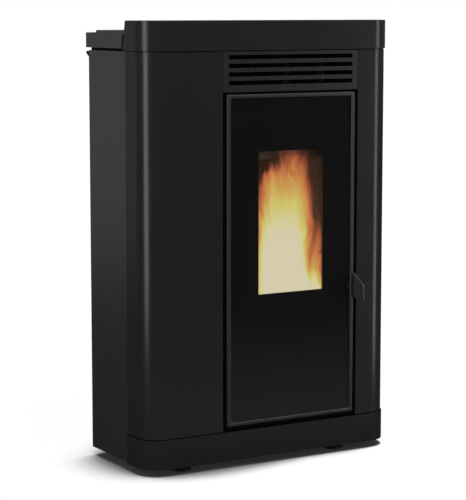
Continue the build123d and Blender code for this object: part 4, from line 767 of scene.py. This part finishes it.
# ---------------------------------------- crown seals
# Closed-cell foam tape inside the top edge of both front panels. It stands up behind the open joint
# under the crown, round each corner, and stops light and draughts.
foam = coated("seal_foam", (0.0060, 0.0060, 0.0060), 0.90, grain=0.8, wear=0.0, dust=0.10, level=0.05)
tape_section = ((0.0021, 1.0780), (0.0021, 1.0925), (0.0050, 1.0925), (0.0050, 1.0780))
casing_corner = (0.3190, -0.1095)
casing_radius = 0.0570
tape_back_end = -0.0600
quarter = 12
for name, side, tape_start in (("left", -1, -0.1562), ("right", 1, 0.2677)):
    corner_x = side * casing_corner[0]
    stations = [(tape_start, casing_corner[1], 0.0)]
    stations += [(corner_x, casing_corner[1], math.pi / 2 * i / quarter) for i in range(quarter + 1)]
    stations += [(corner_x, tape_back_end, math.pi / 2)]
    work = bmesh.new()
    rings = []
    for x, y, turn in stations:
        reaches = [(casing_radius - inset, z) for inset, z in tape_section]
        rings.append([work.verts.new((x + side * reach * math.sin(turn), y - reach * math.cos(turn), z))
                      for reach, z in reaches])
    for near, far in zip(rings, rings[1:]):
        for i in range(4):
            work.faces.new((near[i - 1], near[i], far[i], far[i - 1]))
    work.faces.new(rings[0])
    work.faces.new(rings[-1])
    bmesh.ops.recalc_face_normals(work, faces=work.faces)
    tape = piece_from(work, "crown_seal_" + name, foam, smooth=False)
    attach(tape, "cabinet")


# ---------------------------------------- rear screws
# Button-head screws with a hexagon socket, blackened, along both edges of the rear panel. They hold
# it to the rear folds of the side panels.
screw_x = 0.3670
screw_y = 0.1485
screw_z = [0.0645 + 0.200 * i for i in range(5)]
socket_radius = 0.0016
socket_depth = 0.0014
head_outline = ((0.0, -0.0070), (0.0018, -0.0070), (0.0020, -0.0066), (0.0020, 0.0), (0.0039, 0.0),
                (0.0040, 0.0003), (0.0037, 0.0011), (0.0029, 0.0018), (0.0021, 0.0022))
work = bmesh.new()
turned_profile(work, head_outline, (0.0, 0.0), 36)
mouth = [e for e in work.edges if e.is_boundary]
sunk = bmesh.ops.extrude_edge_only(work, edges=mouth)["geom"]
for vert in vertices_in(sunk):
    turn = math.atan2(vert.co.y, vert.co.x) % (math.pi / 3)
    reach = socket_radius * math.cos(math.pi / 6) / math.cos(turn - math.pi / 6)
    vert.co.xy = vert.co.xy.normalized() * reach
deeper = bmesh.ops.extrude_edge_only(work, edges=[e for e in sunk if isinstance(e, bmesh.types.BMEdge)])
bmesh.ops.translate(work, verts=vertices_in(deeper["geom"]), vec=(0.0, 0.0, -socket_depth))
bmesh.ops.holes_fill(work, edges=work.edges, sides=0)
bmesh.ops.recalc_face_normals(work, faces=work.faces)
bmesh.ops.rotate(work, verts=work.verts, matrix=Matrix.Rotation(-math.pi / 2, 3, "X"))
first = list(work.verts) + list(work.edges) + list(work.faces)
for side in (-1, 1):
    for z in screw_z:
        copied = bmesh.ops.duplicate(work, geom=first)["geom"]
        bmesh.ops.translate(work, verts=vertices_in(copied), vec=(side * screw_x, screw_y, z))
bmesh.ops.delete(work, geom=vertices_in(first), context="VERTS")
screws = piece_from(work, "socket_screws", metal("blackened_zinc", (0.16, 0.16, 0.165), 0.38))
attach(screws, "cabinet")
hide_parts("rear_screws")


# ---------------------------------------- door
# Steel door with a raised bead, a 4 mm ceramic glass pane inside it, black enamel printed on the
# pane's inner face round the clear window, and glass-fibre rope seals. The handle is a flat plate
# on edge in a paler coat. Its pale rim is partly real rubbing and partly a painted highlight.
door_coat = coated("door_coat", (0.014, 0.014, 0.0142), 0.36, grain=0.5, wear=0.06, dust=0.10, level=0.8)
finish_nodes(door_coat, "door_frame")
# The heavy edge wear here is partly real rubbing and partly a painted highlight along the handle's rim.
handle_coat = coated("handle_coat", (0.036, 0.036, 0.0365), 0.34, grain=0.4, wear=0.45, dust=0.05,
                     level=0.8)
finish_nodes(handle_coat, "door_handle")

clear_glass, tree, output = new_material("ceramic_glass")
place = object_place(tree)
wiped = spread(tree, noise(tree, place, 24.0, 4.0, 0.6), 0.45, 0.75, 0.0, 0.035)
ripple = bumped(tree, 0.02, 0.001, noise(tree, place, 30.0, 2.0))
surface(tree, output, (0.97, 0.96, 0.94, 1.0), wiped, IOR=1.52, Transmission_Weight=1.0, Normal=ripple)
finish_nodes(clear_glass, "door_glass")

print_y = (-0.16310, -0.16304)
pane_low = (-0.1380, 0.1115)
pane_high = (0.2495, 0.9705)
window_low = (-0.04425, 0.4510)
window_high = (0.15575, 0.8250)
enamel, tree, output = new_material("black_enamel")
place = object_place(tree)
cloud = noise(tree, place, 6.0, 3.0)
base = mixed(tree, cloud, (0.0065, 0.0065, 0.0066, 1.0), (0.0085, 0.0085, 0.0085, 1.0))
orange_peel = noise(tree, place, 800.0, 2.0)
surface(tree, output, base, spread(tree, cloud, 0.3, 0.7, 0.30, 0.38), Specular_IOR_Level=0.05,
        Normal=bumped(tree, 0.05, 0.0001, orange_peel))
notch_x = 0.2360
notch_low = 0.4435
notch_high = 0.4635
work = bmesh.new()
for low, high in ((pane_low, pane_high), (window_low, window_high)):
    centre = Matrix.Translation(((low[0] + high[0]) / 2, print_y[0], (low[1] + high[1]) / 2))
    reach = ((high[0] - low[0]) / math.sqrt(2), (high[1] - low[1]) / math.sqrt(2))
    shape = Matrix.Diagonal((reach[0], 1.0, reach[1], 1.0))
    upright = Matrix.Rotation(math.pi / 2, 4, "X") @ Matrix.Rotation(math.pi / 4, 4, "Z")
    bmesh.ops.create_circle(work, segments=4, radius=1.0, matrix=centre @ shape @ upright)
bmesh.ops.bridge_loops(work, edges=work.edges)
for edge_place, across in (((notch_x, 0, 0), (1, 0, 0)), ((0, 0, notch_low), (0, 0, 1)),
                           ((0, 0, notch_high), (0, 0, 1))):
    bmesh.ops.bisect_plane(work, geom=list(work.verts) + list(work.edges) + list(work.faces),
                           plane_co=edge_place, plane_no=across)
notch = [f for f in work.faces if f.calc_center_median().x > notch_x
         and notch_low < f.calc_center_median().z < notch_high]
bmesh.ops.delete(work, geom=notch, context="FACES")
back = bmesh.ops.extrude_face_region(work, geom=list(work.faces))["geom"]
bmesh.ops.translate(work, verts=vertices_in(back), vec=(0.0, print_y[1] - print_y[0], 0.0))
bmesh.ops.recalc_face_normals(work, faces=work.faces)
window_print = piece_from(work, "window_print", enamel, smooth=False)
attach(window_print, "fire_door")

knit_waves = 1900.0
rope, tree, output = new_material("knitted_rope")
place = object_place(tree)
part = axes(tree, place)
length_way = calc(tree, "ADD", part["X"], part["Z"])
one_way = calc(tree, "MULTIPLY", calc(tree, "ADD", length_way, part["Y"]), knit_waves)
other_way = calc(tree, "MULTIPLY", calc(tree, "SUBTRACT", length_way, part["Y"]), knit_waves)
knit = calc(tree, "MULTIPLY", calc(tree, "SINE", one_way), calc(tree, "SINE", other_way))
fluff = noise(tree, place, 1600.0, 3.0)
base = mixed(tree, spread(tree, knit, -1.0, 1.0), (0.035, 0.034, 0.033, 1.0), (0.14, 0.137, 0.13, 1.0))
base = mixed(tree, spread(tree, noise(tree, place, 25.0, 3.0), 0.5, 0.75, 0.0, 0.7), base,
             (0.030, 0.026, 0.023, 1.0))
raised = calc(tree, "ADD", calc(tree, "MULTIPLY", knit, 0.5), calc(tree, "MULTIPLY", fluff, 0.5))
surface(tree, output, base, spread(tree, fluff, 0.3, 0.7, 0.85, 0.97),
        Normal=bumped(tree, 0.8, 0.0006, raised))
finish_nodes(rope, "door_gaskets")


# ---------------------------------------- control panel
# Moulded bezel flush with the crown, a dark clear window with a two-figure readout behind it, and
# three round keys printed in pale ink. The mains inlet and its switch are the same plastic.
moulding = soft_black("moulded_plastic", (0.013, 0.013, 0.0135, 1.0), 0.42, grain_scale=2600.0, grain=0.35)
finish_nodes(moulding, "control_panel", "key_1", "key_2", "key_3", "power_inlet", "power_switch")

smoked, tree, output = new_material("smoked_window")
place = object_place(tree)
wiped = spread(tree, noise(tree, place, 60.0, 4.0), 0.4, 0.8, 0.04, 0.14)
surface(tree, output, (0.42, 0.42, 0.44, 1.0), wiped, IOR=1.49, Transmission_Weight=1.0)
finish_nodes(smoked, "display_window")


def printed(name, colour, glow):
    """Pale printed ink, or lit segments when it glows."""
    made, tree, output = new_material(name)
    place = object_place(tree)
    grain = noise(tree, place, 2400.0, 2.0)
    base = mixed(tree, grain, shade(colour, 0.82), colour)
    surface(tree, output, base, spread(tree, grain, 0.3, 0.7, 0.45, 0.60), Emission_Color=base,
            Emission_Strength=glow)
    return made


def bar(work, centre, length, width, low, high, turn=0.0):
    """A raised bar with pointed ends, lying flat."""
    tip = width / length
    shape = Matrix.Diagonal((length / 2, width / 2, 1.0, 1.0))
    start = Matrix.Translation((centre[0], centre[1], low)) @ Matrix.Rotation(turn, 4, "Z") @ shape
    made = bmesh.ops.create_circle(work, cap_ends=True, segments=6, radius=1.0)["verts"]
    for vert in made:
        if abs(vert.co.y) > 0.5:
            vert.co.x = math.copysign(1.0 - tip, vert.co.x)
            vert.co.y = math.copysign(1.0, vert.co.y)
        else:
            vert.co.x = math.copysign(1.0, vert.co.x)
            vert.co.y = 0.0
    bmesh.ops.transform(work, verts=made, matrix=start)
    face = made[0].link_faces[0]
    raised = bmesh.ops.extrude_face_region(work, geom=[face])["geom"]
    bmesh.ops.translate(work, verts=vertices_in(raised), vec=(0.0, 0.0, high - low))


def ring_mark(work, centre, radius, width, low, high, span=math.tau):
    """A raised ring, or part of one that opens away from the front."""
    start = (math.pi / 2) + (math.tau - span) / 2
    corners = [work.verts.new((centre[0] + r * math.cos(start), centre[1] + r * math.sin(start), z))
               for r, z in ((radius, low), (radius, high), (radius - width, high), (radius - width, low))]
    outline = [work.edges.new(pair) for pair in zip(corners, corners[1:] + corners[:1])]
    full = span >= math.tau
    bmesh.ops.spin(work, geom=corners + outline, cent=(*centre, 0.0), axis=(0.0, 0.0, 1.0), angle=span,
                   steps=28, use_merge=full)
    bmesh.ops.remove_doubles(work, verts=work.verts, dist=1e-6)
    if not full:
        bmesh.ops.holes_fill(work, edges=work.edges, sides=4)


key_top = 1.1625
ink = 0.00006
key_y = -0.1145
key_x = (0.271, 0.292, 0.313)
ring_radius = 0.0030
ring_line = 0.0006
sign_length = 0.0062
sign_line = 0.0008
work = bmesh.new()
ring_mark(work, (key_x[0], key_y), ring_radius, ring_line, key_top, key_top + ink, span=math.tau * 0.82)
bar(work, (key_x[0], key_y + 0.0022), ring_radius, ring_line, key_top, key_top + ink, math.pi / 2)
bmesh.ops.recalc_face_normals(work, faces=work.faces)
key_ink = printed("key_ink", (0.62, 0.62, 0.60, 1.0), glow=0.0)
on_key = piece_from(work, "mark_1", key_ink, smooth=False)
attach(on_key, "key_1")
for number, turns in ((2, (0.0,)), (3, (0.0, math.pi / 2))):
    work = bmesh.new()
    for turn in turns:
        bar(work, (key_x[number - 1], key_y), sign_length, sign_line, key_top, key_top + ink, turn)
    bmesh.ops.recalc_face_normals(work, faces=work.faces)
    mark = piece_from(work, "mark_" + str(number), key_ink, smooth=False)
    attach(mark, "key_" + str(number))


# ---------------------------------------- readout
# Two seven-segment figures, amber, lit on a dark panel under the clear window of the bezel.
digit_height = 0.0160
digit_width = 0.0085
digit_low = 1.16156
digit_high = 1.16166
digit_lean = 0.12
digit_line = 0.0014
line_share = 0.90
segments_of = {"2": "abged", "0": "abcdef"}
work = bmesh.new()
for figure, x in (("2", 0.2130), ("0", 0.2270)):
    half = digit_height / 2
    side = digit_width / 2
    places = {"a": (0, half, 0), "g": (0, 0, 0), "d": (0, -half, 0), "b": (side, half / 2, 1),
              "c": (side, -half / 2, 1), "f": (-side, half / 2, 1), "e": (-side, -half / 2, 1)}
    for segment in segments_of[figure]:
        dx, dy, standing = places[segment]
        slant = dy * digit_lean
        length = half * line_share if standing else digit_width * line_share
        turn = math.pi / 2 - digit_lean if standing else 0.0
        bar(work, (x + dx + slant, key_y + dy), length, digit_line, digit_low, digit_high, turn)
bmesh.ops.recalc_face_normals(work, faces=work.faces)
lit_amber = printed("lit_amber", (0.90, 0.34, 0.05, 1.0), glow=0.9)
figures = piece_from(work, "readout_figures", lit_amber, smooth=False)
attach(figures, "cabinet")


# ---------------------------------------- control board
# Glass-fibre board with a green mask, thin copper tracks and soldered parts, screwed to a tray on
# the right side panel. The parts stand off the board towards the firebox.
board_face = 0.3583
board, tree, output = new_material("circuit_board")
place = object_place(tree)
part = axes(tree, place)
on_board = spread(tree, part["X"], board_face - 0.0001, board_face + 0.0001)
cells = put(tree, "ShaderNodeTexVoronoi", {"Vector": place, "Scale": 150.0},
            feature="DISTANCE_TO_EDGE", distance="EUCLIDEAN").outputs["Distance"]
track = spread(tree, cells, 0.05, 0.09)
mask_green = mixed(tree, track, (0.060, 0.150, 0.070, 1.0), (0.012, 0.062, 0.030, 1.0))
mottle = noise(tree, place, 35.0, 2.0)
which = spread(tree, mottle, 0.46, 0.54)
body = mixed(tree, which, (0.012, 0.012, 0.013, 1.0), (0.030, 0.045, 0.080, 1.0))
base = mixed(tree, on_board, body, mask_green)
surface(tree, output, base, spread(tree, mottle, 0.3, 0.7, 0.30, 0.45),
        Normal=bumped(tree, 0.3, 0.0002, track))
finish_nodes(board, "control_board")


low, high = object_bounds()
